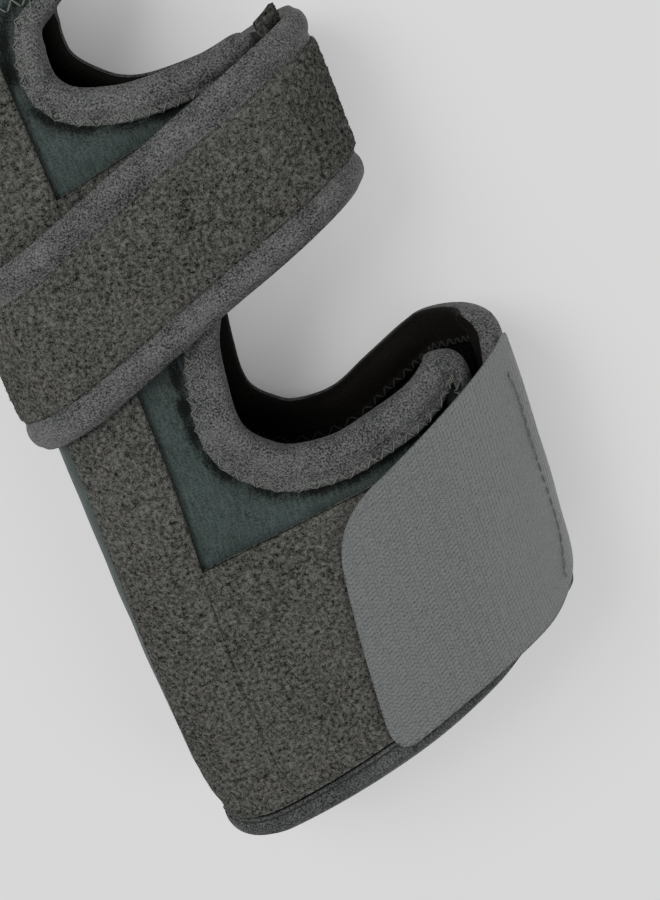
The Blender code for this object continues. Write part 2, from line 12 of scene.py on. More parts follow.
import bpy
import numpy as np
from mathutils import Matrix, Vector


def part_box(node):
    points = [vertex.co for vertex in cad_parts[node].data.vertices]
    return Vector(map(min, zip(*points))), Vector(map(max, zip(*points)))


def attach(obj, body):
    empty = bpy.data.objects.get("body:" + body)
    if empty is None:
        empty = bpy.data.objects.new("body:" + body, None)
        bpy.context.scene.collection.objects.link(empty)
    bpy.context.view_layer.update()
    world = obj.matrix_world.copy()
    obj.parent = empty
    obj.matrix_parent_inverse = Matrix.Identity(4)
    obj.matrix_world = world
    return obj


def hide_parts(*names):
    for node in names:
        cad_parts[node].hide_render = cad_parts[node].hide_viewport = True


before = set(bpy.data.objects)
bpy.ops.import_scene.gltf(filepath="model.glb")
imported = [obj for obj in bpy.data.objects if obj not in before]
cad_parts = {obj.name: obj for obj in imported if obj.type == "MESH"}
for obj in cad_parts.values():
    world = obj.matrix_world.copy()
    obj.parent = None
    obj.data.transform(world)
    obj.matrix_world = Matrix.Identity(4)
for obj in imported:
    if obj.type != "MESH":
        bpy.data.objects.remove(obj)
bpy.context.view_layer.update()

# Sleeve
# One blank of foam with a fine knitted face outside and a dark brushed lining inside, its
# near-black tone partly painted shade for the hollow of the cuff. It is folded round the hand,
# the spine on the little-finger side, with notches for the thumb and the fingers.

SPINE_X, HEM_Y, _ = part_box("sleeve")[0]
WALL = 0.0035
GAP = 0.0004
TAPE = 0.0009
LOOP = 0.0014
STRAP_FOAM = 0.0012
OVER = 2 * GAP + LOOP
STRAP_LOW_FACE = OVER + TAPE + GAP
STRAP_TOP_FACE = STRAP_LOW_FACE + STRAP_FOAM
STACK = STRAP_TOP_FACE + GAP + LOOP

WRIST_LENGTH = 0.0798
THUMB_OPENING = 0.0327
PALM_LENGTH = 0.0485
FINGER_OPENING = 0.0180
FINGER_LENGTH = 0.0620
STRAP_EDGE = WRIST_LENGTH + THUMB_OPENING
PALM_TOP = STRAP_EDGE + PALM_LENGTH
FINGER_LOW = PALM_TOP + FINGER_OPENING
LENGTH = FINGER_LOW + FINGER_LENGTH

WRIST_WIDTH = 0.0950
WRIST_TAPER = 0.0043
WRIST_DEPTH = 0.0370
PALM_WIDTH = 0.0763
PALM_DEPTH = 0.0295
FINGER_WIDTH = 0.0450
FINGER_DEPTH = 0.0255
SPINE_CORNER = 0.0150
SPINE_LEAN = 0.0018
HEM_PULL = 0.0035
HEM_FLARE = 0.0200
HEM_LOWEST = 0.0015
HEM_Y -= HEM_LOWEST
HEM_RISE = 0.0255
HEM_EASE = 1.7
THUMB_ROOT = 0.0398
FINGER_ROOT = 0.0327
WRIST_FLAP_SHORT = 0.0100
WRIST_BACK_WRAP = 0.0080
PALM_FLAP_END = PALM_WIDTH - 0.0045
FINGER_BACK_DROP = 0.0037
PALM_BACK_SHORT = 0.0010
FLAP_CORNER = 0.0060
TUCK = 0.0030
TUCK_RUN = 0.0180
SEAM = 0.0003
STRAP_COVER = 0.0060
STRAP_DROP = 0.0020
STRAP_SLOPE = 0.374
BLANK_CELL = 0.0011
NOTCH_MARGIN = 0.0075
FINGER_MARGIN = 0.0055
HEM_MARGIN = 0.0042
GROOVE_OFF = 0.0006
GROOVE_WIDTH = 0.0012
GROOVE_DEPTH = 0.0004
LOFT = 0.00018
LOFT_SINK = 0.00012

# Columns: place along, width, front and back corners on the thumb side as shares of the width.
WIDTHS = (
    (0.30 * WRIST_LENGTH, WRIST_WIDTH - WRIST_TAPER, 0.44, 0.21),
    (WRIST_LENGTH + 0.20 * THUMB_OPENING, WRIST_WIDTH, 0.44, 0.21),
    (STRAP_EDGE, PALM_WIDTH, 0.30, 0.24),
    (PALM_TOP + 0.25 * FINGER_OPENING, PALM_WIDTH, 0.30, 0.24),
    (FINGER_LOW, FINGER_WIDTH, 0.34, 0.34),
)

# Columns: place along, depth, lift off the table as a share of STACK.
DEPTHS = (
    (0.35 * WRIST_LENGTH, WRIST_DEPTH, 0.35),
    (1.18 * WRIST_LENGTH, 0.25 * WRIST_DEPTH + 0.75 * PALM_DEPTH, 1.00),
    (PALM_TOP + 0.10 * PALM_LENGTH, PALM_DEPTH, 1.00),
    (LENGTH - 0.10 * FINGER_LENGTH, FINGER_DEPTH, 0.35),
)

# Columns: share of the way from the root to the flap's end, share of THUMB_OPENING above
# WRIST_LENGTH on the front, and the same on the back.
THUMB_EDGE = (
    (1.000, 0.250, 0.330),
    (0.850, 0.130, 0.275),
    (0.630, 0.055, 0.150),
    (0.410, 0.000, 0.025),
    (0.200, 0.034, 0.034),
    (0.090, 0.130, 0.130),
    (0.020, 0.245, 0.245),
    (0.000, 0.380, 0.380),
    (0.013, 0.565, 0.565),
    (0.050, 0.840, 0.840),
    (0.110, 1.020, 1.020),
    (0.200, 1.220, 1.220),
)

# Columns: share of the way from the root to the flap's end, share of FINGER_OPENING above the cuff.
FINGER_EDGE = (
    (1.000, 0.060),
    (0.720, -0.010),
    (0.400, -0.010),
    (0.220, 0.060),
    (0.090, 0.170),
    (0.020, 0.330),
    (0.000, 0.500),
    (0.010, 0.760),
    (0.050, 0.980),
    (0.150, 1.110),
    (0.230, 1.260),
)

CORNER = np.linspace(0.0, math.pi / 2, 21)
SPINE_POINT = 2 * 20 + 6


def eased(share):
    """0 to 1 with level ends: three times the square less twice the cube."""
    share = np.clip(share, 0.0, 1.0)
    return share * share * (3.0 - 2.0 * share)


def eased_rows(table, y):
    """A table's other columns at each y, eased from one row to the next."""
    table = np.array(table)
    y = np.clip(y, table[0, 0], table[-1, 0])
    row = np.clip(np.searchsorted(table[:, 0], y, side="right") - 1, 0, len(table) - 2)
    start = table[row]
    end = table[row + 1]
    share = eased((y - start[:, 0]) / (end[:, 0] - start[:, 0]))[:, None]
    return ((1 - share) * start + share * end)[:, 1:].T[..., None]


def sections(y):
    """Sections of the form at each y: x, z, the outward normal's two parts and u.

    Each section is four quarters of ellipses, half the depth high, joined by straight lines. It
    starts on the thumb side, runs under the back to the spine and comes back over the front.
    """
    y = np.atleast_1d(y)
    width, front, back = eased_rows(WIDTHS, y)
    depth, lift = eased_rows(DEPTHS, y)
    front = front * width
    back = back * width
    lean = SPINE_LEAN * eased((y - WRIST_LENGTH / 2) / (STRAP_EDGE - WRIST_LENGTH / 2))
    spine = SPINE_X + (HEM_PULL * (1 - eased(y / HEM_FLARE)) + lean)[:, None]
    side = SPINE_X + width
    corner = np.full_like(width, SPINE_CORNER)
    half = depth / 2
    middle = lift * STACK + half
    c = np.cos(CORNER)
    s = np.sin(CORNER)
    x = (side - back * (1 - c), spine + corner * (1 - s), spine + corner * (1 - c), side - front * (1 - s))
    z = (middle - half * s, middle - half * c, middle + half * s, middle + half * c)
    nx = (half * c, -half * s, -half * c, half * s)
    nz = (-back * s, -corner * c, corner * s, front * c)
    parts = []
    for p in (x, z, nx, nz):
        under = np.linspace(p[0][:, -1], p[1][:, 0], 7, axis=1)[:, 1:-1]
        over = np.linspace(p[2][:, -1], p[3][:, 0], 7, axis=1)[:, 1:-1]
        parts.append(np.concatenate((p[0], under, p[1], p[2][:, 1:], over, p[3]), axis=1))
    size = np.hypot(parts[2], parts[3])
    parts[2] /= size
    parts[3] /= size
    run = np.hypot(np.diff(parts[0], axis=1), np.diff(parts[1], axis=1))
    u = np.concatenate((np.zeros_like(width), np.cumsum(run, axis=1)), axis=1)
    return (*parts, u - u[:, SPINE_POINT : SPINE_POINT + 1])


def tucked(u, y, side):
    """How far the wrist's front flap dips towards its end, so that it lies inside the back panel."""
    start = side - WRIST_FLAP_SHORT - TUCK_RUN
    along = 1.0 - eased((y - WRIST_LENGTH) / THUMB_OPENING * 2.0 - 0.4)
    return TUCK * eased((u - start) / TUCK_RUN) * along * (u > 0)


def on_form(u, y, h, tuck=True, shares=False):
    """World points of cloth points: the section's point at u, moved out by h along its normal.

    With shares, u is a share of the way round the section from the thumb side.
    """
    u, y, h = np.broadcast_arrays(u, y, h)
    shape = u.shape
    u, y, h = (np.ravel(part).astype(float) for part in (u, y, h))
    done = []
    for first_row in range(0, len(u), 30000):
        part = slice(first_row, first_row + 30000)
        rows, which = np.unique(y[part], return_inverse=True)
        x, z, nx, nz, d = (column[which] for column in sections(rows))
        first = d[:, 0]
        girth = d[:, -1] - first
        round_u = first + (np.mod(u[part], 1.0) * girth if shares else np.mod(u[part] - first, girth))
        lift = h[part] - (tucked(u[part], y[part], d[:, -1]) if tuck else 0.0)
        k = np.clip((d <= round_u[:, None]).sum(axis=1) - 1, 0, d.shape[1] - 2)
        row = np.arange(len(k))
        share = (round_u - d[row, k]) / (d[row, k + 1] - d[row, k])
        x, z, nx, nz = ((1 - share) * p[row, k] + share * p[row, k + 1] for p in (x, z, nx, nz))
        size = np.hypot(nx, nz)
        done.append(np.stack((x + lift * nx / size, HEM_Y + y[part], z + lift * nz / size), axis=1))
    return np.concatenate(done).reshape(*shape, 3)


def side_u(y, side):
    """u of the thumb side over the front (side 1) or under the back (side -1)."""
    d = sections(np.ravel(y))[4][:, -1 if side > 0 else 0]
    return d.reshape(np.shape(y)) if np.ndim(y) else d[0]


def drawn(points, side):
    """Cloth points (u, y) of plan points, which give the distance across from the spine."""
    points = np.array(points)
    x, _, _, _, d = sections(points[:, 1])
    half = slice(SPINE_POINT, None, 1 if side > 0 else -1)
    u = [np.interp(SPINE_X + a, row_x[half], row_d[half]) for a, row_x, row_d in zip(points[:, 0], x, d)]
    return np.stack((u, points[:, 1]), axis=1)


def spaced(points, step):
    """The same line with points at even steps along it."""
    points = np.array(points)
    length = np.concatenate(([0.0], np.cumsum(np.hypot(*np.diff(points[:, :2], axis=0).T))))
    count = max(1, round(length[-1] / step))
    marks = np.linspace(0.0, length[-1], count + 1)
    return np.stack([np.interp(marks, length, column) for column in points.T], axis=1)


def smooth(points, step=0.0008):
    """A Catmull-Rom curve through the points, with a point about every step."""
    points = np.array(points)
    ends = np.vstack((2 * points[0] - points[1], points, 2 * points[-1] - points[-2]))
    t = np.linspace(0.0, 1.0, 24, endpoint=False)[:, None]
    fine = [
        0.5 * (2 * b + (c - a) * t + (2 * a - 5 * b + 4 * c - d) * t**2 + (3 * b - a - 3 * c + d) * t**3)
        for a, b, c, d in zip(ends, ends[1:], ends[2:], ends[3:])
    ]
    return spaced(np.vstack((*fine, points[-1:])), step)


def hem_height(u):
    """The hem's y at each u: it rises towards the thumb side by a power of the distance across."""
    u = np.clip(u, side_u(HEM_FLARE, -1), side_u(HEM_FLARE, 1))
    across = on_form(u, HEM_FLARE, 0.0, tuck=False)[..., 0]
    share = np.clip((across - SPINE_X) / (WRIST_WIDTH - WRIST_TAPER), 0.0, 1.0)
    return HEM_LOWEST + HEM_RISE * share**HEM_EASE


def palm_edge(across):
    """The palm cuff's lower edge, under the strap."""
    return STRAP_EDGE + STRAP_COVER + STRAP_SLOPE * (across - PALM_WIDTH / 2)


def thumb_notch(side):
    """The thumb notch's edge on one side of the splint, from the wrist to the palm."""
    flap_end = side_u(WRIST_LENGTH, 1) - WRIST_FLAP_SHORT - FLAP_CORNER
    reach = on_form(flap_end, WRIST_LENGTH, 0.0, tuck=False)[0] - SPINE_X - THUMB_ROOT
    column = 1 if side > 0 else 2
    rows = [
        (THUMB_ROOT + row[0] * reach, WRIST_LENGTH + row[column] * THUMB_OPENING)
        for row in THUMB_EDGE
    ]
    hidden = [(a, palm_edge(a)) for a in (0.68 * PALM_WIDTH, 0.80 * PALM_WIDTH, PALM_FLAP_END)]
    line = drawn(rows + hidden, side)
    if side > 0:
        return smooth(line)
    top = WRIST_LENGTH + THUMB_EDGE[0][2] * THUMB_OPENING
    around = side_u(top, -1)
    wrap = ((around - 0.0015, top), (around, top))
    palm_end = (side_u(STRAP_EDGE, -1) + PALM_BACK_SHORT, line[-1][1])
    return smooth(np.vstack((wrap, line, (palm_end,))))


def finger_notch(side):
    """The finger notch's edge on one side of the splint, from the palm to the finger cuff."""
    reach = PALM_FLAP_END - FINGER_ROOT
    drop = 0.0 if side > 0 else FINGER_BACK_DROP
    rows = [
        (FINGER_ROOT + a * reach, PALM_TOP + b * FINGER_OPENING - drop * eased(a / 0.3) * (b < 0.5))
        for a, b in FINGER_EDGE
    ]
    line = drawn(rows, side)
    top = FINGER_LOW + 0.50 * FINGER_OPENING
    end = (side_u(top, side) - side * SEAM / 2, top)
    if side > 0:
        return smooth(np.vstack((line, (end,))))
    palm_end = (side_u(rows[0][1], -1) + PALM_BACK_SHORT, rows[0][1])
    return smooth(np.vstack(((palm_end,), line, (end,))))


def flap_corners():
    """The rounded top corners of the wrist's front flap and of its back panel."""
    front = thumb_notch(1)[0]
    back = thumb_notch(-1)[0]
    end = side_u(front[1], 1) - WRIST_FLAP_SHORT
    over = ((end, front[1] - 1.6 * FLAP_CORNER), (end - 0.25 * FLAP_CORNER, front[1] - 0.5 * FLAP_CORNER))
    end = side_u(back[1], -1) - WRIST_BACK_WRAP
    under = ((end + 0.55 * WRIST_BACK_WRAP, back[1] - 0.8 * FLAP_CORNER), (end, back[1] - 2.2 * FLAP_CORNER))
    return np.array(over), np.array(under)


def hem_line(step=0.0008):
    """The hem from the back panel's end to the front flap's end."""
    low = side_u(HEM_FLARE, -1) - WRIST_BACK_WRAP
    high = side_u(HEM_FLARE, 1) - WRIST_FLAP_SHORT
    u = np.linspace(low, high, round((high - low) / step))
    return np.stack((u, hem_height(u)), axis=1)


def blank_outline():
    """The blank's outline, from the hem up the front side and down the back side."""
    finger_front = finger_notch(1)
    seam_y = np.linspace(finger_front[-1, 1], LENGTH, 40)[1:]
    seam_front = np.stack((side_u(seam_y, 1) - SEAM / 2, seam_y), axis=1)
    seam_back = np.stack((side_u(seam_y, -1) + SEAM / 2, seam_y), axis=1)
    hem = hem_line()
    front_corner, back_corner = flap_corners()
    up = (hem, front_corner, thumb_notch(1), finger_front, seam_front)
    down = (seam_back[::-1], finger_notch(-1)[::-1], thumb_notch(-1)[::-1], back_corner)
    return np.vstack((*up, *down))


def to_outline(points, outline):
    """For each point, whether it is inside the outline and the outline's nearest point."""
    crossings = np.zeros(len(points), dtype=int)
    nearest = np.zeros_like(points)
    for first_row in range(0, len(points), 4000):
        part = slice(first_row, first_row + 4000)
        p = points[part, None]
        a = outline
        b = np.roll(outline, -1, axis=0)
        crosses = (a[:, 1] > p[..., 1]) != (b[:, 1] > p[..., 1])
        rise = np.where(b[:, 1] == a[:, 1], 1.0, b[:, 1] - a[:, 1])
        left = p[..., 0] < a[:, 0] + (p[..., 1] - a[:, 1]) * (b[:, 0] - a[:, 0]) / rise
        crossings[part] = (crosses & left).sum(axis=1)
        length = np.maximum(((b - a) ** 2).sum(-1), 1e-12)
        share = np.clip(((p - a) * (b - a)).sum(-1) / length, 0.0, 1.0)
        foot = a + share[..., None] * (b - a)
        best = ((p - foot) ** 2).sum(-1).argmin(axis=1)
        nearest[part] = foot[np.arange(len(best)), best]
    return crossings % 2 == 1, nearest


def cut_blank(outline, cell):
    """Cloth points and quads of a sheet cut to an outline.

    A square grid over the outline, less the cells whose middles are outside, with the points on its
    ragged edge moved to the outline.
    """
    low = outline.min(axis=0) - cell
    high = outline.max(axis=0) + cell
    count = np.ceil((high - low) / cell).astype(int)
    u, y = np.meshgrid(*(low[k] + cell * np.arange(count[k] + 1) for k in (0, 1)), indexing="ij")
    index = np.arange(u.size).reshape(u.shape)
    corners = (index[:-1, :-1], index[1:, :-1], index[1:, 1:], index[:-1, 1:])
    quads = np.stack(corners, axis=-1).reshape(-1, 4)
    points = np.stack((u.ravel(), y.ravel()), axis=1)
    kept, _ = to_outline(points[quads].mean(axis=1), outline)
    inner = quads[kept]
    uses = np.bincount(inner.ravel(), minlength=len(points))
    edge = np.flatnonzero((uses > 0) & (uses < 4))
    _, points[edge] = to_outline(points[edge], outline)
    used, quads = np.unique(inner, return_inverse=True)
    return points[used], quads.reshape(-1, 4)


def cloth_object(name, points, quads, finishes, flat=None, which=None):
    """A closed mesh turned outwards, with its flat cloth coordinates kept as its UV map."""
    corner = [points[quads[:, k]] for k in range(quads.shape[1])]
    volume = sum((corner[0] * np.cross(b, c)).sum() for b, c in zip(corner[1:], corner[2:]))
    if volume < 0:
        quads = quads[:, ::-1]
    mesh = bpy.data.meshes.new(name)
    mesh.from_pydata(points, [], quads)
    if flat is not None:
        layer = mesh.uv_layers.new(name="cloth")
        layer.uv.foreach_set("vector", np.ascontiguousarray(flat[quads.ravel()], dtype=np.float32).ravel())
    for finish in finishes:
        mesh.materials.append(finish)
    if which is not None:
        mesh.polygons.foreach_set("material_index", which.astype(np.int32))
    mesh.shade_smooth()
    piece = bpy.data.objects.new(name, mesh)
    bpy.context.collection.objects.link(piece)
    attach(piece, "root")
    return piece


def layered(name, cloth, quads, top, bottom, finishes, tuck=True, both=False):
    """A cut sheet laid on the form between two heights, its edge closed by a rim of quads."""
    count = len(cloth)
    points = np.vstack([on_form(cloth[:, 0], cloth[:, 1], h, tuck) for h in (top, bottom)])
    sides = np.concatenate([quads[:, (k, (k + 1) % 4)] for k in range(4)])
    _, where, times = np.unique(np.sort(sides, axis=1), axis=0, return_index=True, return_counts=True)
    a, b = sides[where[times == 1]].T
    rim = np.stack((b, a, a + count, b + count), axis=1)
    faces = np.vstack((quads, quads[:, ::-1] + count, rim))
    which = np.zeros(len(faces)) if not both else np.repeat((0, 1, 1), (len(quads), len(quads), len(rim)))
    return cloth_object(name, points, faces, finishes, np.vstack((cloth, cloth)), which)


def ripple(u, y, pitch, seed):
    """Smooth uneven waves from -1 to 1: the mean of sines with seeded directions and phases."""
    rng = np.random.default_rng(seed)
    total = 0.0
    for angle, phase, stretch in rng.uniform((0.0, 0.0, 0.7), (math.pi, 2 * math.pi, 1.6), (8, 3)):
        along = u * math.cos(angle) + y * math.sin(angle)
        total = total + np.sin(2 * math.pi * along / (pitch * stretch) + phase)
    return total / 8 * 1.6


def dye(code):
    """The linear colour of a six-digit screen colour."""
    screen = np.array([int(code[k : k + 2], 16) for k in (0, 2, 4)]) / 255
    return (*np.where(screen <= 0.04045, screen / 12.92, ((screen + 0.055) / 1.055) ** 2.4), 1.0)


def node_maker(tree):
    """A function that adds a node with its values, links and settings to a node tree."""

    def node(kind, values=(), **settings):
        made = tree.nodes.new(kind)
        for key, value in settings.items():
            setattr(made, key, value)
        for key, value in dict(values).items():
            socket = made.inputs[key]
            if isinstance(value, bpy.types.NodeSocket):
                tree.links.new(value, socket)
            else:
                socket.default_value = value
        return made

    return node


def textile(name, roughness, sheen, sheen_tint="3a3c3a", specular=0.05):
    """A cloth finish with its shader, its node function and a function that links to its shader."""
    finish = bpy.data.materials.new(name)
    finish.use_nodes = True
    tree = finish.node_tree
    shader = tree.nodes["Principled BSDF"]
    shader.inputs["Roughness"].default_value = roughness
    shader.inputs["Sheen Weight"].default_value = sheen
    shader.inputs["Sheen Roughness"].default_value = 0.5
    shader.inputs["Sheen Tint"].default_value = dye(sheen_tint)
    shader.inputs["Specular IOR Level"].default_value = specular

    def link(source, key):
        tree.links.new(source, shader.inputs[key])

    return finish, node_maker(tree), link


def shared_effect(name, outputs):
    """A node group with value outputs, its node function and a function that links its outputs."""
    group = bpy.data.node_groups.new(name, "ShaderNodeTree")
    for output in outputs:
        group.interface.new_socket(name=output, in_out="OUTPUT", socket_type="NodeSocketFloat")
    leave = group.nodes.new("NodeGroupOutput")

    def link(source, key):
        group.links.new(source, leave.inputs[key])

    return group, node_maker(group), link


def mixed(node, share, first, second):
    """The colour between two colours or colour sockets at a share."""
    mix = node("ShaderNodeMix", {0: share, 6: first, 7: second}, data_type="RGBA")
    return mix.outputs[2]


def sum_of(node, *terms):
    """The sum of value sockets, each times its weight."""
    total = 0.0
    for socket, weight in terms:
        total = node("ShaderNodeMath", {0: socket, 1: weight, 2: total}, operation="MULTIPLY_ADD").outputs[0]
    return total


def noise(node, place, scale, detail, roughness=0.5):
    """A noise's value, with its repeats per metre, its octaves and how strong the fine ones are."""
    values = {"Vector": place, "Scale": scale, "Detail": detail, "Roughness": roughness}
    return node("ShaderNodeTexNoise", values).outputs[0]


def between(node, value, low, high):
    """Where a value lies between two limits, from 0 to 1."""
    return node("ShaderNodeMapRange", {0: value, 1: low, 2: high}).outputs[0]


def worked(node, operation, *values):
    """The result of a math node."""
    return node("ShaderNodeMath", dict(enumerate(values)), operation=operation).outputs[0]


def raised(node, height, distance, strength=0.5):
    """The normal of a face that a height from 0 to 1 raises by a distance."""
    values = {"Strength": strength, "Distance": distance, "Height": height}
    return node("ShaderNodeBump", values).outputs[0]


def tufted_effect():
    """Brushed fibre: clumps 0.9 mm across, fibres of 0.3 mm in them and a slow drift of tone."""
    group, node, link = shared_effect("tufted_fibre", ("Tone", "Height"))
    place = node("ShaderNodeTexCoord").outputs["Object"]
    clumps = noise(node, place, 1150.0, 2.0, 0.7)
    fibre = noise(node, place, 3300.0, 2.0)
    drift = noise(node, place, 42.0, 3.0)
    tone = sum_of(node, (clumps, 0.6), (fibre, 0.4), (drift, 0.10))
    link(between(node, tone, 0.41, 0.69), "Tone")
    link(sum_of(node, (clumps, 0.6), (fibre, 0.4)), "Height")
    return group


def knitted_effect():
    """Fine knit: loops 0.35 mm apart and uneven dye over some millimetres."""
    group, node, link = shared_effect("fine_knit", ("Tone", "Height"))
    place = node("ShaderNodeTexCoord").outputs["Object"]
    loops = noise(node, place, 2800.0, 2.0)
    rubbed = noise(node, place, 120.0, 5.0, 0.62)
    tone = sum_of(node, (loops, 0.9), (rubbed, 0.35))
    link(between(node, tone, 0.45, 0.80), "Tone")
    link(loops, "Height")
    return group


def knitted_face():
    """The jersey face: the fine knit, drawn out in streaks along the splint."""
    finish, node, link = textile("jersey_face", 0.6, 0.06, "505856")
    knit = node("ShaderNodeGroup", node_tree=fine_knit)
    cloth = node("ShaderNodeUVMap", uv_map="cloth").outputs[0]
    place = node("ShaderNodeMapping", {0: cloth, "Scale": (1.0, 0.22, 1.0)}).outputs[0]
    streaks = noise(node, place, 1500.0, 3.0)
    # Painted shadow: the attribute darkens the jersey beside each tape's edge, where the tape shades it.
    shade = node("ShaderNodeAttribute", attribute_name="painted_seam_shadow").outputs["Fac"]
    tone = sum_of(node, (knit.outputs["Tone"], 0.55), (streaks, 0.8), (shade, -1.3))
    link(mixed(node, tone, dye("0b0e0d"), dye("343c3a")), "Base Color")
    height = sum_of(node, (streaks, 0.5), (knit.outputs["Height"], 0.5))
    link(raised(node, height, 0.00025), "Normal")
    return finish


def tufted_finish(name, dark, light, roughness, sheen, tint, depth):
    """A brushed cloth in two tones, its tufts raised by a depth."""
    finish, node, link = textile(name, roughness, sheen, tint, 0.0)
    fibre = node("ShaderNodeGroup", node_tree=tufted_fibre)
    link(mixed(node, fibre.outputs["Tone"], dye(dark), dye(light)), "Base Color")
    link(raised(node, fibre.outputs["Height"], depth, 1.0), "Normal")
    return finish


def tape_finish(name, dark, light):
    """Smooth stretch tape: the fine knit with rubbed, paler patches."""
    finish, node, link = textile(name, 0.7, 0.08, "60605c")
    knit = node("ShaderNodeGroup", node_tree=fine_knit)
    link(mixed(node, knit.outputs["Tone"], dye(dark), dye(light)), "Base Color")
    link(raised(node, knit.outputs["Height"], 0.00022), "Normal")
    return finish


tufted_fibre = tufted_effect()
fine_knit = knitted_effect()
jersey_face = knitted_face()
# The lining is dark cloth, and its near-black tone is also painted shade for the cuff's inside.
lining = tufted_finish("brushed_lining", "050506", "111112", 0.95, 0.05, "1c1c1c", 0.0004)
blank_edge = blank_outline()
blank, cells = cut_blank(blank_edge, BLANK_CELL)
_, foot = to_outline(blank, blank_edge)
from_edge = np.hypot(*(blank - foot).T)
at_hem = foot[:, 1] < 0.5 * WRIST_LENGTH
at_fingers = foot[:, 1] > STRAP_EDGE + 0.6 * PALM_LENGTH
tape_reach = np.select((at_hem, at_fingers), (HEM_MARGIN, FINGER_MARGIN), NOTCH_MARGIN)
# The groove dents the face beside each tape's edge. Its mask is also kept on the sleeve as an attribute that
# darkens the jersey there, a painted shadow line under the tape's edge.
groove_and_painted_shadow = np.exp(-(((from_edge - tape_reach - GROOVE_OFF) / GROOVE_WIDTH) ** 2))
groove_and_painted_shadow *= 0.65 + 0.5 * ripple(foot[:, 0], foot[:, 1], 0.006, 8)
loft = LOFT * ripple(blank[:, 0], blank[:, 1], 0.017, 3) - LOFT_SINK - GROOVE_DEPTH * groove_and_painted_shadow
sleeve = layered("sleeve_foam", blank, cells, loft, -WALL, (jersey_face, lining), both=True)
painted_seam_shadow = sleeve.data.attributes.new("painted_seam_shadow", "FLOAT", "POINT")
painted_seam_shadow.data.foreach_set("value", np.concatenate((groove_and_painted_shadow, groove_and_painted_shadow)).astype(np.float32))
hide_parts("sleeve")

# Notch bindings
# Stretch knit tape folded over the raw edge of each notch and pulled tight, so that it rolls over
# the foam. A zigzag row catches its edge to the sleeve outside and inside.

BINDING_END = 0.0040
THREAD = 0.00019
ZIGZAG_PITCH = 0.0029
ZIGZAG_WIDTH = 0.0021
ZIGZAG_STEPS = 14
NEEDLE_DIP = 0.00012
ROLL_OUT = 0.0016

# Columns: share of the way in from the bound edge, height over the face as a share of TAPE.
ROLL = (
    (1.00, 0.15),
    (0.99, 0.85),
    (0.93, 1.08),
    (0.82, 1.00),
    (0.72, 0.98),
    (0.62, 1.35),
    (0.48, 1.72),
    (0.30, 1.85),
    (0.12, 1.65),
    (-0.05, 1.10),
    (-0.16, 0.10),
)


def roll_section(low, high, margin):
    """A rolled tape's section, outer side first: a smooth curve over ROLL, its mirror image on the
    other face, and the folded edge's half circle between them."""
    upper = np.array([(a * margin, high + b * TAPE) for a, b in ROLL])
    lower = np.array([(a * margin, low - b * TAPE) for a, b in ROLL[::-1]])
    nose = ((-ROLL_OUT, (low + high) / 2),)
    outer = smooth(np.vstack((upper, nose, lower)), 0.00055)
    inside = np.linspace(0.0, 1.0, len(outer) // 2)[:, None]
    under = (1 - inside) * (0.97 * margin, low + 0.0001) + inside * (0.0, low + 0.0001)
    over = (1 - inside) * (0.0, high - 0.0001) + inside * (0.97 * margin, high - 0.0001)
    inner = np.vstack((under, over))
    while len(inner) < len(outer):
        inner = np.vstack((inner, inner[-1:]))
    return outer, inner


def ring_quads(start, end):
    """Quads from rings of point numbers to the rings after them."""
    corners = (start, np.roll(start, -1, axis=1), np.roll(end, -1, axis=1), end)
    return np.stack(corners, axis=-1).reshape(-1, 4)


def carried(name, rings, flat, finishes, closed=False, which=0):
    """A section carried along a path: each ring lists outer points and then as many inner ones."""
    stations, around, _ = rings.shape
    half = around // 2
    index = np.arange(stations * around).reshape(stations, around)
    start = index if closed else index[:-1]
    end = np.roll(index, -1, axis=0) if closed else index[1:]
    quads = ring_quads(start, end)
    which = np.broadcast_to(which, (len(start), around)).ravel()
    if not closed:
        for cap, turn in ((index[0], 1), (index[-1], -1)):
            outer = cap[:half]
            inner = cap[: half - 1 : -1]
            lid = np.stack((outer[:-1], inner[:-1], inner[1:], outer[1:]), axis=1)
            quads = np.vstack((quads, lid[:, ::turn][:, ::-1]))
    which = np.concatenate((which, np.zeros(len(quads) - len(which), dtype=int)))
    return cloth_object(name, rings.reshape(-1, 3), quads, finishes, flat.reshape(-1, 2), which)


def along_edge(path, closed=False):
    """Directions along a cloth path, one for each point, with the form's girth taken out."""
    ahead = np.roll(path, -1, axis=0)
    behind = np.roll(path, 1, axis=0)
    if not closed:
        ahead[-1] = path[-1]
        behind[0] = path[0]
    girth = side_u(path[:, 1], 1) - side_u(path[:, 1], -1)
    along = ahead - behind
    along[:, 0] -= girth * np.round(along[:, 0] / girth)
    return along / np.hypot(*along.T)[:, None]


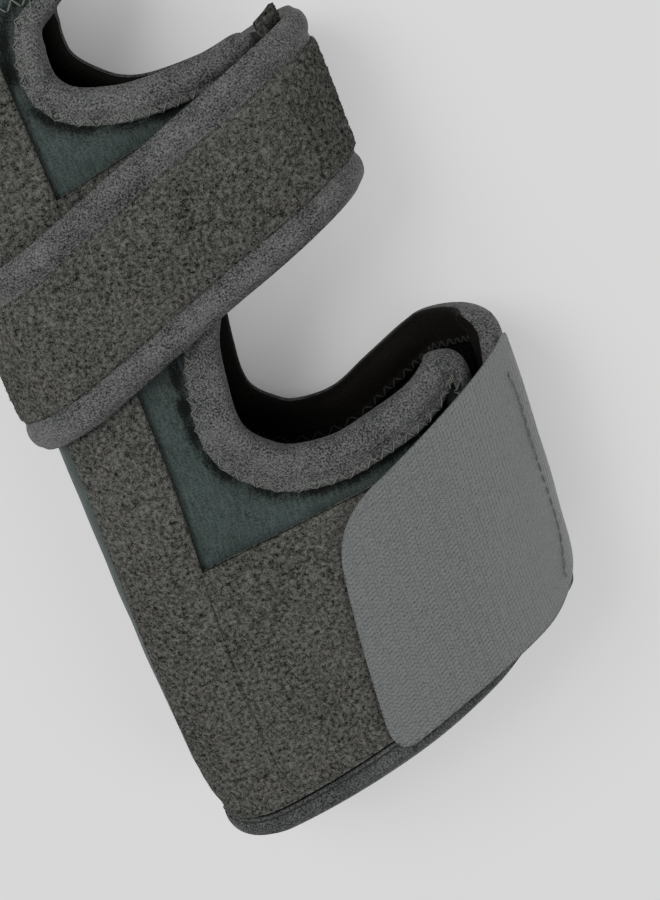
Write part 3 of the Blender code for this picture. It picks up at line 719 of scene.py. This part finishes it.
def bound_edge(name, path, margin, finishes, closed=False, round_ends=(True, True), seed=1, narrow=1.0):
    """Tape rolled over the sleeve's edge along a path that has the sleeve on its left.

    The section shrinks to a quarter at a rounded end, and small waves along the tape lift its
    outer side, most between the stitches. The second finish, a darker copy of the tape, is
    painted shade for the side in the hollow, and narrow gives the tape's width on the face, for
    each path point, as a share of the margin.
    """
    outer, inner = roll_section(-WALL, 0.0, margin)
    section = np.vstack((outer, inner))
    along = along_edge(path, closed)
    run = np.concatenate(([0.0], np.cumsum(np.hypot(*np.diff(path, axis=0).T))))
    size = np.ones(len(path))
    for wanted, far in zip(round_ends, (run, run[-1] - run)):
        if wanted and not closed:
            size = size * np.sqrt(np.clip(1 - (1 - np.clip(far / BINDING_END, 0, 1)) ** 2, 0.06, 1))
    across = section[:, 0] * np.ones((len(path), 1))
    across = np.where(across > 0, across * np.reshape(narrow, (-1, 1)), across)
    middle = -WALL / 2
    lift = section[:, 1] - middle
    swell = 1 + 0.07 * ripple(run, 0 * run, 0.012, seed)
    near_row = np.exp(-(((section[:, 0] / margin - 0.72) / 0.16) ** 2))
    pucker = 0.22 * np.cos(2 * math.pi * run / ZIGZAG_PITCH)[:, None] * near_row
    outward = np.zeros(len(section))
    outward[: len(outer)] = 1.0
    face = np.sign(lift) * np.clip(np.abs(lift) - WALL / 2, 0.0, None) * outward
    h = middle + (lift - face) * np.ones((len(path), 1)) + face * ((swell * size)[:, None] + pucker)
    across = np.where(across < 0, across * size[:, None], across)
    u = path[:, :1] - along[:, 1:] * across
    y = path[:, 1:] + along[:, :1] * across
    rings = on_form(u, y, h)
    flat = np.stack((np.broadcast_to(run[:, None], u.shape), across + np.abs(section[:, 1])), axis=-1)
    # Faces from the tape's nose inward take the darker second finish: painted shade in the hollow.
    hidden = (np.arange(len(section)) >= 0.52 * len(outer)).astype(int)
    return carried(name, rings, flat, finishes, closed, hidden)


def thread_tube(name, cloth, h, finish, radius=THREAD, tuck=True, shares=False):
    """A thread along cloth points at heights: a six-sided tube with flat ends."""
    line = on_form(cloth[:, 0], cloth[:, 1], h, tuck, shares)
    up = on_form(cloth[:, 0], cloth[:, 1], h + 0.001, tuck, shares) - line
    ahead = np.gradient(line, axis=0)
    side = np.cross(ahead, up)
    side /= np.linalg.norm(side, axis=1)[:, None]
    up = np.cross(side, ahead)
    up /= np.linalg.norm(up, axis=1)[:, None]
    angle = np.arange(6) * math.pi / 3
    round_it = side[:, None] * np.cos(angle)[:, None] + up[:, None] * np.sin(angle)[:, None]
    rings = line[:, None] + radius * round_it
    index = np.arange(len(line) * 6).reshape(-1, 6)
    quads = ring_quads(index[:-1], index[1:])
    first, last = index[0], index[-1]
    caps = (first[[3, 2, 1, 0]], first[[5, 4, 3, 0]], last[[0, 1, 2, 3]], last[[0, 3, 4, 5]])
    run = np.concatenate(([0.0], np.cumsum(np.linalg.norm(np.diff(line, axis=0), axis=1))))
    flat = np.stack(np.broadcast_arrays(run[:, None], np.arange(6) * radius), axis=-1).reshape(-1, 2)
    piece = cloth_object(name, rings.reshape(-1, 3), np.vstack((quads, *caps)), (finish,), flat)
    return piece


def zigzag(name, path, inset, width, height, finish, side=1, narrow=1.0):
    """A zigzag row along a path: the thread swings between two distances in from the bound edge,
    crosses the surface at a height and dips at each needle hole."""
    step = ZIGZAG_PITCH / ZIGZAG_STEPS
    path = spaced(np.column_stack((path, np.broadcast_to(narrow, len(path)))), step)
    path, narrow = path[:, :2], path[:, 2]
    along = along_edge(path)
    phase = np.arange(len(path)) / ZIGZAG_STEPS
    rng = np.random.default_rng(11)
    turns = np.arange(math.ceil(phase[-1] * 2) + 2)
    swing = 0.5 + (turns % 2 - 0.5) * rng.uniform(0.82, 1.12, len(turns))
    across = inset + width * (np.interp(phase * 2, turns, swing) - 0.5)
    arc = np.abs(np.sin(2 * math.pi * phase))
    h = height(across) + side * (THREAD * 1.3 * arc**0.5 - NEEDLE_DIP)
    across = across - inset * (1 - narrow)
    u = path[:, 0] - along[:, 1] * across
    y = path[:, 1] + along[:, 0] * across
    return thread_tube(name, np.stack((u, y), axis=1), h, finish)


def roll_height(margin):
    """The height of the rolled tape's outer face at a distance in from the edge."""
    share, height = np.array(ROLL)[::-1].T
    height[share >= 1] = 0.1
    return lambda across: np.interp(across / margin, share, height) * TAPE


def sewing_thread(name, dark, light):
    """Spun thread: fine twist along it."""
    finish, node, link = textile(name, 0.6, 0.1)
    cloth = node("ShaderNodeUVMap", uv_map="cloth").outputs[0]
    turned = node("ShaderNodeMapping", {0: cloth, "Rotation": (0.0, 0.0, 0.6)}).outputs[0]
    twist = node("ShaderNodeTexWave", {"Vector": turned, "Scale": 900.0}).outputs[1]
    link(mixed(node, twist, dye(dark), dye(light)), "Base Color")
    link(raised(node, twist, 0.0001), "Normal")
    return finish


knit_tape = tape_finish("knit_tape_face", "161717", "505150")
# A darker copy of the knit tape for the rolls' side in the cuff's hollow: painted shade.
tape_inside_painted_shade = tape_finish("knit_tape_inside_painted_shade", "070706", "141210")
thread = sewing_thread("sewing_thread", "2c2e2b", "5c5e59")
dark_thread = sewing_thread("dark_thread", "161716", "313331")
front_corner, back_corner = flap_corners()
front_path = smooth(np.vstack((front_corner, thumb_notch(1)[2:])))
back_path = smooth(np.vstack((thumb_notch(-1)[:1:-1], back_corner)))
front_share = np.linspace(0.0, 1.0, len(front_path))
front_narrow = 0.55 + 0.45 * eased(front_share / 0.22) - 0.30 * eased((front_share - 0.45) / 0.3)
back_narrow = 1 - 0.45 * eased((np.linspace(0.0, 1.0, len(back_path)) - 0.78) / 0.22)
notch_finishes = (knit_tape, tape_inside_painted_shade)
finger_path = np.vstack((finger_notch(1)[:-1], finger_notch(-1)[::-1]))
finger_narrow = 1 - 0.27 * eased((finger_path[:, 1] - PALM_TOP) / (0.9 * FINGER_OPENING))

# Columns: name, node, path, margin, share of the margin along the path, seed.
NOTCHES = (
    ("thumb_front", "thumb_notch_front_binding", front_path, NOTCH_MARGIN, front_narrow, 4),
    ("thumb_back", "thumb_notch_back_binding", back_path, NOTCH_MARGIN, back_narrow, 5),
    ("finger", "finger_notch_binding", finger_path, FINGER_MARGIN, finger_narrow, 6),
)
for name, node_name, path, margin, narrow, seed in NOTCHES:
    piece = bound_edge(name + "_roll", path, margin, notch_finishes, seed=seed, narrow=narrow)
    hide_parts(node_name)

for name, _, path, margin, narrow, _ in NOTCHES:
    inset = margin - 0.35 * ZIGZAG_WIDTH
    over = roll_height(margin)
    row = name + "_zigzag"
    zigzag(row, path, inset, ZIGZAG_WIDTH, over, thread, narrow=narrow)
    zigzag(row + "_inside", path, inset, ZIGZAG_WIDTH, lambda a: -WALL - over(a), dark_thread, -1, narrow)

# End bindings
# A darker, smoother tape closes the wrist hem and the finger end, sewn with one straight row.

END_MARGIN = 0.0060
STITCH_PITCH = 0.0028
STITCH_STEPS = 10
hem_tape = tape_finish("hem_tape_face", "0f1010", "464847")
hem_roll = bound_edge("wrist_hem_roll", hem_line(), HEM_MARGIN, (hem_tape, tape_inside_painted_shade), seed=7)
end_u = np.linspace(side_u(LENGTH, 1), side_u(LENGTH, -1), 180)[:-1]
end_path = np.stack((end_u, np.full_like(end_u, LENGTH)), axis=1)
end_roll = bound_edge("finger_end_roll", end_path, END_MARGIN, (hem_tape, tape_inside_painted_shade), closed=True, seed=8)
for piece, node_name in ((hem_roll, "wrist_hem_binding"), (end_roll, "finger_end_binding")):
    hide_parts(node_name)


def stitch_rise(count):
    """A straight row's heights: the thread rises over each stitch and sinks in between them."""
    wave = np.cos(2 * math.pi * np.arange(count) / STITCH_STEPS)
    return THREAD * (0.2 + 1.25 * np.clip(wave + 0.55, -0.8, 1.0))


def straight_stitches(name, path, inset, height, finish, tuck=True):
    """A straight row at a distance in from a path."""
    path = spaced(path, STITCH_PITCH / STITCH_STEPS)
    along = along_edge(path)
    u = path[:, 0] - along[:, 1] * inset
    y = path[:, 1] + along[:, 0] * inset
    h = height + stitch_rise(len(path))
    return thread_tube(name, np.stack((u, y), axis=1), h, finish, THREAD * 0.85, tuck)


straight_stitches("hem_stitches", hem_line(), 0.80 * HEM_MARGIN, 0.98 * TAPE, dark_thread)
straight_stitches("end_stitches", end_path[::-1], -0.80 * END_MARGIN, 0.98 * TAPE, dark_thread)

# Loop tapes
# Brushed loop tapes lie on the sleeve's front: one along the spine, one across the wrist for the
# hook tab, and one across the palm under the strap. Rows of stitches run along the spine tape's
# thumb-side edge and along the wrist tape's lower and upper edges.

STRIP_FROM = 0.0138
STRIP_WIDTH = 0.0182
PANEL_SHORT = 0.0190
PALM_PANEL_WIDTH = 0.0370
WRIST_PANEL_DROP = 0.0158
WRIST_PANEL_SLOPE = 0.13
PALM_PANEL_DROP = 0.0145
PALM_PANEL_SLOPE = 0.21
PILE_CELL = 0.0006
PILE_CLUMP = 0.00024
PILE_PRESS = 0.0013
ROW_INSET = 0.0012
FIBRES = 0.8


def brushed_fibres(name, first, second, h, count, place, seed):
    """Short fibres on a pile: spindles from tip to tip with a raised middle, turned every way.

    first, second and h are the pile's points, and place turns such points into world ones.
    """
    rng = np.random.default_rng(seed)
    pick = rng.integers(0, first.size, count)
    turn, half, rise, thick = rng.uniform(
        (0.0, 0.00024, 0.00003, 0.00005), (2 * math.pi, 0.00060, 0.00016, 0.00009), (count, 4)
    ).T[..., None]
    ahead = half * np.array((-1.0, 0.0, 0.0, 0.0, 1.0))
    side = thick * np.array((0.0, -1.0, 1.0, 0.0, 0.0))
    up = np.array((-1.0, 0.0, 0.0, 1.0, -1.0)) * thick + rise * np.array((-1.0, 1.0, 1.0, 1.0, -1.0))
    jitter = rng.uniform(-0.5, 0.5, (2, count)) * PILE_CELL
    a = (first.ravel()[pick] + jitter[0])[:, None] + ahead * np.cos(turn) - side * np.sin(turn)
    b = (second.ravel()[pick] + jitter[1])[:, None] + ahead * np.sin(turn) + side * np.cos(turn)
    points = place(a, b, h.ravel()[pick][:, None] + up).reshape(-1, 3)
    spindle = np.array(((0, 2, 1), (0, 3, 2), (0, 1, 3), (4, 1, 2), (4, 2, 3), (4, 3, 1)))
    faces = (spindle + 5 * np.arange(count)[:, None, None]).reshape(-1, 3)
    piece = cloth_object(name, points, faces, (loose_fibre,))


def tufts_of(shape, seed):
    """Heights from about -1 to 1 for a pile's points, in clumps a few points wide."""
    height = np.random.default_rng(seed).normal(0.0, 1.0, shape)
    fine = (2 * height + np.roll(height, 1, 0) + np.roll(height, 1, 1)) / 4
    return 0.6 * fine + 0.4 * np.roll(fine, 1, (0, 1))


def loop_tape(name, low, high, finish, seed, spine_side=True):
    """Loop tape between a lower and an upper line with as many points: its pile stands in clumps,
    and its edge is pressed down, on the spine's side only if asked."""
    rows = round(np.abs(high[:, 1] - low[:, 1]).max() / PILE_CELL)
    share = np.linspace(0.0, 1.0, rows)[:, None]
    u = low[:, 0] + share * (high[:, 0] - low[:, 0])
    y = low[:, 1] + share * (high[:, 1] - low[:, 1])
    edge = np.minimum.reduce((u[:, -1:] - u, y - y[:1], y[-1:] - y))
    if spine_side:
        edge = np.minimum(edge, u - u[:, :1])
    press = eased(edge / PILE_PRESS)
    clumps = PILE_CLUMP * tufts_of(u.shape, seed) * (0.25 + 0.75 * press)
    top = GAP + LOOP * (0.72 + 0.20 * press) + clumps + 0.0001 * ripple(u, y, 0.011, seed)
    outer = np.concatenate((u, u[:, ::-1]), axis=1)
    along = np.concatenate((y, y[:, ::-1]), axis=1)
    h = np.concatenate((top, np.full_like(u, GAP * 0.5)), axis=1)
    flat = np.stack((outer, along), axis=-1)
    piece = carried(name, on_form(outer, along, h), flat, (finish,))
    inner = np.s_[1:-1, 1:-1]
    brushed_fibres(name + "_fibres", u[inner], y[inner], top[inner], round(u.size * FIBRES), on_form, seed)
    return piece


loop_pile = tufted_finish("loop_pile_face", "111110", "4c4c49", 0.95, 0.02, "50504c", 0.00025)
loose_fibre = tufted_finish("loose_fibre", "161615", "5c5c58", 0.9, 0.02, "50504c", 0.0001)
strip_u = np.linspace(STRIP_FROM, STRIP_FROM + STRIP_WIDTH, round(STRIP_WIDTH / PILE_CELL))
strip_low = np.stack((strip_u, hem_height(strip_u) + HEM_MARGIN + 2 * GAP), axis=1)
strip_high = np.stack((strip_u, np.full_like(strip_u, LENGTH - END_MARGIN - 2 * GAP)), axis=1)
strip = loop_tape("spine_loop_tape", strip_low, strip_high, loop_pile, 21)

first = STRIP_FROM + STRIP_WIDTH - 0.0001
last = side_u(HEM_FLARE, 1) - WRIST_FLAP_SHORT - PANEL_SHORT
wrist_u = np.linspace(first, last, round((last - first) / PILE_CELL))
wrist_low = np.stack((wrist_u, hem_height(wrist_u) + HEM_MARGIN + 2 * GAP), axis=1)
wrist_top = WRIST_LENGTH - WRIST_PANEL_DROP + WRIST_PANEL_SLOPE * (wrist_u - first)
wrist_high = np.stack((wrist_u, wrist_top), axis=1)
wrist_tape = loop_tape("wrist_loop_tape", wrist_low, wrist_high, loop_pile, 22, spine_side=False)

palm_u = np.linspace(first, first + PALM_PANEL_WIDTH, round(PALM_PANEL_WIDTH / PILE_CELL))
palm_across = on_form(palm_u, STRAP_EDGE, 0.0)[:, 0] - SPINE_X
palm_low = np.stack((palm_u, palm_edge(palm_across) + NOTCH_MARGIN + 4 * GAP), axis=1)
palm_high = np.stack((palm_u, PALM_TOP - PALM_PANEL_DROP + PALM_PANEL_SLOPE * (palm_u - first)), axis=1)
palm_tape = loop_tape("palm_loop_tape", palm_low, palm_high, loop_pile, 23)

for piece, node_name, low, high in (
    (strip, "spine_loop_strip", strip_low, strip_high),
    (wrist_tape, "wrist_loop_panel", wrist_low, wrist_high),
    (palm_tape, "palm_loop_panel", palm_low, palm_high),
):
    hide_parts(node_name)

strip_right = np.stack((np.full(2, strip_u[-1]), (strip_low[-1, 1], strip_high[-1, 1])), axis=1)
straight_stitches("strip_stitches", strip_right, PILE_PRESS, GAP + 0.62 * LOOP, thread)
straight_stitches("wrist_tape_low_stitches", wrist_low, ROW_INSET, GAP + 0.55 * LOOP, thread)
straight_stitches("wrist_tape_high_stitches", wrist_high, -ROW_INSET, GAP + 0.55 * LOOP, thread)

# Hook tab
# Stiff woven tape with the hooks on its hidden side. It is sewn to the back panel's end, comes
# round the thumb side and presses on the wrist's loop tape. Its edges are cut with a hot knife.

TAB_LENGTH = 0.0537
TAB_WIDTH = 0.0575
TAB_ROUNDING = 0.0110
TAB_PAST_SIDE = 0.0005
TAB_ABOVE_NOTCH = 0.0065
TAB_CELL = 0.0007
TAB_CREASE = 0.00016
HOOK = 0.0012

# Columns: share of TAB_LENGTH from the thumb side, share of TAB_WIDTH above the lowest point, share
# of TAB_ROUNDING.
TAB_CORNERS = (
    (0.010, 0.456, 0.04),
    (0.075, 1.304, 0.04),
    (0.912, 0.934, 1.00),
    (1.000, 0.000, 0.50),
    (0.560, 0.148, 1.00),
    (0.205, 0.249, 0.45),
    (0.050, 0.370, 0.25),
)


def tab_outline():
    """The tab's outline: straight sides with each corner replaced by a quadratic curve."""
    start = side_u(HEM_FLARE, 1) + TAB_PAST_SIDE
    lowest = WRIST_LENGTH + TAB_ABOVE_NOTCH - TAB_WIDTH * max(b for _, b, _ in TAB_CORNERS)
    corners = np.array([(start - a * TAB_LENGTH, lowest + b * TAB_WIDTH) for a, b, _ in TAB_CORNERS])
    t = np.linspace(0.0, 1.0, 12)[:, None]
    line = []
    rounding = [share * TAB_ROUNDING for _, _, share in TAB_CORNERS]
    sides = (np.roll(corners, 1, 0), corners, np.roll(corners, -1, 0), rounding)
    for before, corner, after, radius in zip(*sides):
        enter = corner + radius * (before - corner) / np.linalg.norm(before - corner)
        leave = corner + radius * (after - corner) / np.linalg.norm(after - corner)
        line.append((1 - t) ** 2 * enter + 2 * t * (1 - t) * corner + t**2 * leave)
    return np.vstack(line)


def herringbone():
    """Herringbone weave: ribs along the splint 0.7 mm apart, crossed by rows that zigzag every
    1.3 mm and fade out towards the thumb side."""
    finish, node, link = textile("herringbone_weave", 0.6, 0.1, "60605e", 0.2)
    cloth = node("ShaderNodeUVMap", uv_map="cloth").outputs[0]
    parts = node("ShaderNodeSeparateXYZ", {0: cloth})

    def wave(value, pitch):
        return worked(node, "SINE", worked(node, "MULTIPLY", value, 2 * math.pi / pitch))

    swing = worked(node, "PINGPONG", parts.outputs[0], 0.0013)
    row = worked(node, "MULTIPLY_ADD", swing, 0.6, parts.outputs[1])
    fade = between(node, parts.outputs[0], 0.104, 0.082)
    rows = worked(node, "MULTIPLY", wave(row, 0.00095), fade)
    uneven = noise(node, cloth, 1100.0, 3.0, 0.65)
    drift = noise(node, cloth, 60.0, 2.0)
    weave = sum_of(node, (rows, 0.45), (wave(parts.outputs[0], 0.0007), 0.25), (uneven, 2.4))
    tone = between(node, sum_of(node, (weave, 0.5), (drift, 0.5)), -0.05, 0.50)
    link(mixed(node, tone, dye("1c1d1d"), dye("515353")), "Base Color")
    link(raised(node, weave, 0.0003, 1.0), "Normal")
    return finish


hook_weave = herringbone()
tab_line = tab_outline()
tab_cloth, tab_cells = cut_blank(tab_line, TAB_CELL)
crease = TAB_CREASE * ripple(tab_cloth[:, 0], tab_cloth[:, 1], 0.024, 31)
tab_top = OVER + 0.9 * HOOK + crease
tab_under = OVER + 0.15 * HOOK + crease
tab = layered("wrist_hook_tab_weave", tab_cloth, tab_cells, tab_top, tab_under, (hook_weave,), tuck=False)
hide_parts("wrist_hook_tab")

# Columns: share of TAB_LENGTH from the thumb side, share of TAB_WIDTH below the sharp corner.
TAB_SEAM = (
    (0.125, 0.13),
    (0.110, 0.24),
    (0.105, 0.42),
    (0.092, 0.62),
    (0.090, 0.78),
    (0.135, 0.95),
)
seam_start = side_u(HEM_FLARE, 1) + TAB_PAST_SIDE
seam_top = WRIST_LENGTH + TAB_ABOVE_NOTCH
tab_seam = [(seam_start - a * TAB_LENGTH, seam_top - b * TAB_WIDTH) for a, b in TAB_SEAM]
straight_stitches("tab_stitches", smooth(tab_seam), 0.0, OVER + 0.92 * HOOK, thread, tuck=False)

# Strap
# A band of thin padding round the palm: brushed loop face outside, knit tape rolled over both
# edges, and a patch of hook at its thumb-side end. It is sewn down with a row along each tape.

STRAP_WIDTH = 0.0356
STRAP_MARGIN = 0.0055
STRAP_DEPTH = STRAP_WIDTH * math.hypot(1.0, STRAP_SLOPE)
STRAP_TRIM = 0.00036
STRAP_HALF = STRAP_WIDTH / 2 - GAP - TAPE - STRAP_TRIM
FACE_HALF = 0.0114
ROW_FROM_FACE = 0.0008
STATIONS = 420
STRAP_FIBRES = 17000
PATCH_ABOVE = 0.0022
SPINE_PRESS = 0.25
SPINE_REACH = 0.022


def strap_middle(x):
    """The strap's middle line at places across the splint: it slants up towards the thumb side."""
    return STRAP_EDGE - STRAP_DROP + STRAP_DEPTH / 2 + STRAP_SLOPE * (x - SPINE_X - PALM_WIDTH / 2)


share = np.arange(STATIONS) / STATIONS
girth_x = on_form(share, PALM_TOP, 0.0, shares=True)[:, 0]
strap_y = strap_middle(girth_x)
strap_girth = side_u(PALM_TOP, 1) - side_u(PALM_TOP, -1)
strap_run = share * strap_girth


def pressed(run):
    """The strap's height as a share of its full one: it is pulled down over the spine."""
    from_spine = run + side_u(PALM_TOP, -1)
    return 1 - SPINE_PRESS * np.exp(-((from_spine / SPINE_REACH) ** 2))


def strap_rings(across, heights):
    """Rings round the palm: distances across from the strap's middle line, at heights."""
    y = strap_y[:, None] + across * STRAP_DEPTH / STRAP_WIDTH
    return on_form(share[:, None], y, heights * pressed(strap_run)[:, None], shares=True)


def strap_layer(name, half_width, low, high, finish, cells, seed):
    """A flat layer of the strap, its face in clumps and pressed down at its edges."""
    across = np.linspace(-half_width, half_width, cells)
    press = eased((half_width - np.abs(across)) / PILE_PRESS)
    clumps = PILE_CLUMP * tufts_of((STATIONS, cells), seed) * (0.25 + 0.75 * press)
    top = low + (high - low) * (0.42 + 0.5 * press) + clumps
    heights = np.concatenate((top, np.full((STATIONS, cells), low)), axis=1)
    both = np.concatenate((across, across[::-1]))
    flat = np.stack(np.broadcast_arrays(strap_run[:, None], both), axis=-1)
    return carried(name, strap_rings(both, heights), flat, (finish,), closed=True), top, across


def strap_roll(name, side, finish, seed):
    """Tape rolled over one edge of the strap."""
    outer, inner = roll_section(STRAP_LOW_FACE, STRAP_TOP_FACE, STRAP_MARGIN)
    section = np.vstack((outer, inner))
    middle = (STRAP_LOW_FACE + STRAP_TOP_FACE) / 2
    swell = 0.92 + 0.06 * ripple(strap_run, 0 * strap_run, 0.013, seed)
    swollen = np.where(np.arange(len(section)) < len(outer), swell[:, None], 0.94)
    h = middle + (section[:, 1] - middle) * swollen
    across = side * (STRAP_HALF - section[:, 0])
    flat = np.stack(np.broadcast_arrays(strap_run[:, None], across + np.abs(section[:, 1])), axis=-1)
    return carried(name, strap_rings(across, h), flat, (finish,), closed=True)


def on_strap(run, across, h):
    """World points of strap points: distance along it, distance from its middle line, height."""
    part = run / strap_girth
    x = on_form(part, PALM_TOP, 0.0, shares=True)[..., 0]
    return on_form(part, strap_middle(x) + across * STRAP_DEPTH / STRAP_WIDTH, h * pressed(run), shares=True)


strap_face, pile_top, pile_across = strap_layer(
    "strap_pile", FACE_HALF, STRAP_TOP_FACE + 0.0001, STACK, loop_pile, 44, 41
)
strap_core, _, _ = strap_layer("strap_padding", STRAP_HALF, STRAP_LOW_FACE, STRAP_TOP_FACE, knit_tape, 12, 42)
strap_upper = strap_roll("strap_upper_roll", 1, knit_tape, 43)
strap_lower = strap_roll("strap_lower_roll", -1, knit_tape, 44)
for piece, node_name, slot_name in (
    (strap_face, "strap_loop_face", "loop_pile"),
    (strap_core, "strap_base", "knit_tape"),
    (strap_upper, "strap_upper_binding", "knit_tape"),
    (strap_lower, "strap_lower_binding", "knit_tape"),
):
    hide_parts(node_name)
pile_run, pile_wide = np.broadcast_arrays(strap_run[:, None], pile_across[1:-1])
brushed_fibres("strap_pile_fibres", pile_run, pile_wide, pile_top[:, 1:-1], STRAP_FIBRES, on_strap, 46)


def strap_stitches(name, across, height):
    """A straight row round the strap at a distance from its middle line."""
    fine = np.linspace(0.0, 1.0, 1 + round(strap_run[-1] / STITCH_PITCH) * STITCH_STEPS)
    x = on_form(fine, PALM_TOP, 0.0, shares=True)[:, 0]
    y = strap_middle(x) + across * STRAP_DEPTH / STRAP_WIDTH
    h = (height + stitch_rise(len(fine))) * pressed(fine * strap_girth)
    thread_tube(name, np.stack((fine, y), axis=1), h, thread, THREAD * 0.85, shares=True)


strap_stitches("strap_upper_stitches", FACE_HALF - ROW_FROM_FACE, STRAP_TOP_FACE + 0.72 * LOOP)
strap_stitches("strap_lower_stitches", -FACE_HALF + ROW_FROM_FACE, STRAP_TOP_FACE + 0.72 * LOOP)

patch_start = drawn(((PALM_FLAP_END, PALM_TOP),), 1)[0, 0] + 4 * GAP
patch_end = side_u(PALM_TOP, 1) + PALM_BACK_SHORT - 4 * GAP
patch_u = np.linspace(patch_start, patch_end, 40)
patch_x = on_form(patch_u, PALM_TOP, 0.0)[:, 0]
patch_y = strap_middle(patch_x)
patch_high = np.stack((patch_u, patch_y + STRAP_DEPTH / 2 + PATCH_ABOVE), axis=1)
patch = loop_tape("strap_hook_patch_pile", np.stack((patch_u, patch_y), axis=1), patch_high, loop_pile, 45)
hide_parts("strap_hook_patch")

# Table, light and camera
# A plain pale table under soft white light, seen from above at a slight angle.

floor_mesh = bpy.data.meshes.new("table")
floor_mesh.from_pydata([(-2, -2, 0), (2, -2, 0), (2, 2, 0), (-2, 2, 0)], [], [(0, 1, 2, 3)])
table = bpy.data.objects.new("table", floor_mesh)
bpy.context.collection.objects.link(table)
paper = bpy.data.materials.new("pale_table")
paper.use_nodes = True
paper_shader = paper.node_tree.nodes["Principled BSDF"]
paper_shader.inputs["Base Color"].default_value = dye("ffffff")
paper_shader.inputs["Roughness"].default_value = 0.8
floor_mesh.materials.append(paper)

world = bpy.data.worlds.new("studio")
world.use_nodes = True
world.node_tree.nodes["Background"].inputs[0].default_value = (1.0, 1.0, 1.0, 1.0)
world.node_tree.nodes["Background"].inputs[1].default_value = 1.1
bpy.context.scene.world = world

# Columns: name, place, aim, side length, power.
LAMPS = (
    ("key_light", (-0.55, 0.65, 1.10), (0.0, 0.0, 0.0), 0.7, 19.0),
    ("fill_light", (0.80, -0.50, 1.00), (0.0, 0.0, 0.0), 0.9, 6.0),
)
for name, place, aim, size, power in LAMPS:
    lamp = bpy.data.lights.new(name, "AREA")
    lamp.size = size
    lamp.energy = power
    light = bpy.data.objects.new(name, lamp)
    light.location = place
    away = np.array(place) - np.array(aim)
    lean = math.atan2(math.hypot(away[0], away[1]), away[2])
    light.rotation_euler = (lean, 0.0, math.atan2(away[0], -away[1]))
    bpy.context.collection.objects.link(light)

CAMERA_AIM = (0.0075, -0.0483, 0.0200)
CAMERA_DISTANCE = 0.500
TILT_Y = math.radians(19.0)
TILT_X = math.radians(8.0)
ROLL_ANGLE = math.radians(22.5)
look = np.array((-math.tan(TILT_X), -math.tan(TILT_Y), -1.0))
look /= np.linalg.norm(look)
flat_up = np.array((0.0, 1.0, 0.0)) - look[1] * look
flat_up /= np.linalg.norm(flat_up)
flat_right = np.cross(look, flat_up)
up = math.cos(ROLL_ANGLE) * flat_up + math.sin(ROLL_ANGLE) * flat_right
right = np.cross(look, up)
place = np.array(CAMERA_AIM) - CAMERA_DISTANCE * look
lens = bpy.data.cameras.new("camera")
lens.sensor_width = 36.0
lens.lens = 95.0
lens.clip_start = 0.01
camera = bpy.data.objects.new("camera", lens)
turn = np.eye(4)
turn[:3, 0] = right
turn[:3, 1] = up
turn[:3, 2] = -look
turn[:3, 3] = place
camera.matrix_world = Matrix(turn.tolist())
bpy.context.collection.objects.link(camera)
bpy.context.scene.camera = camera
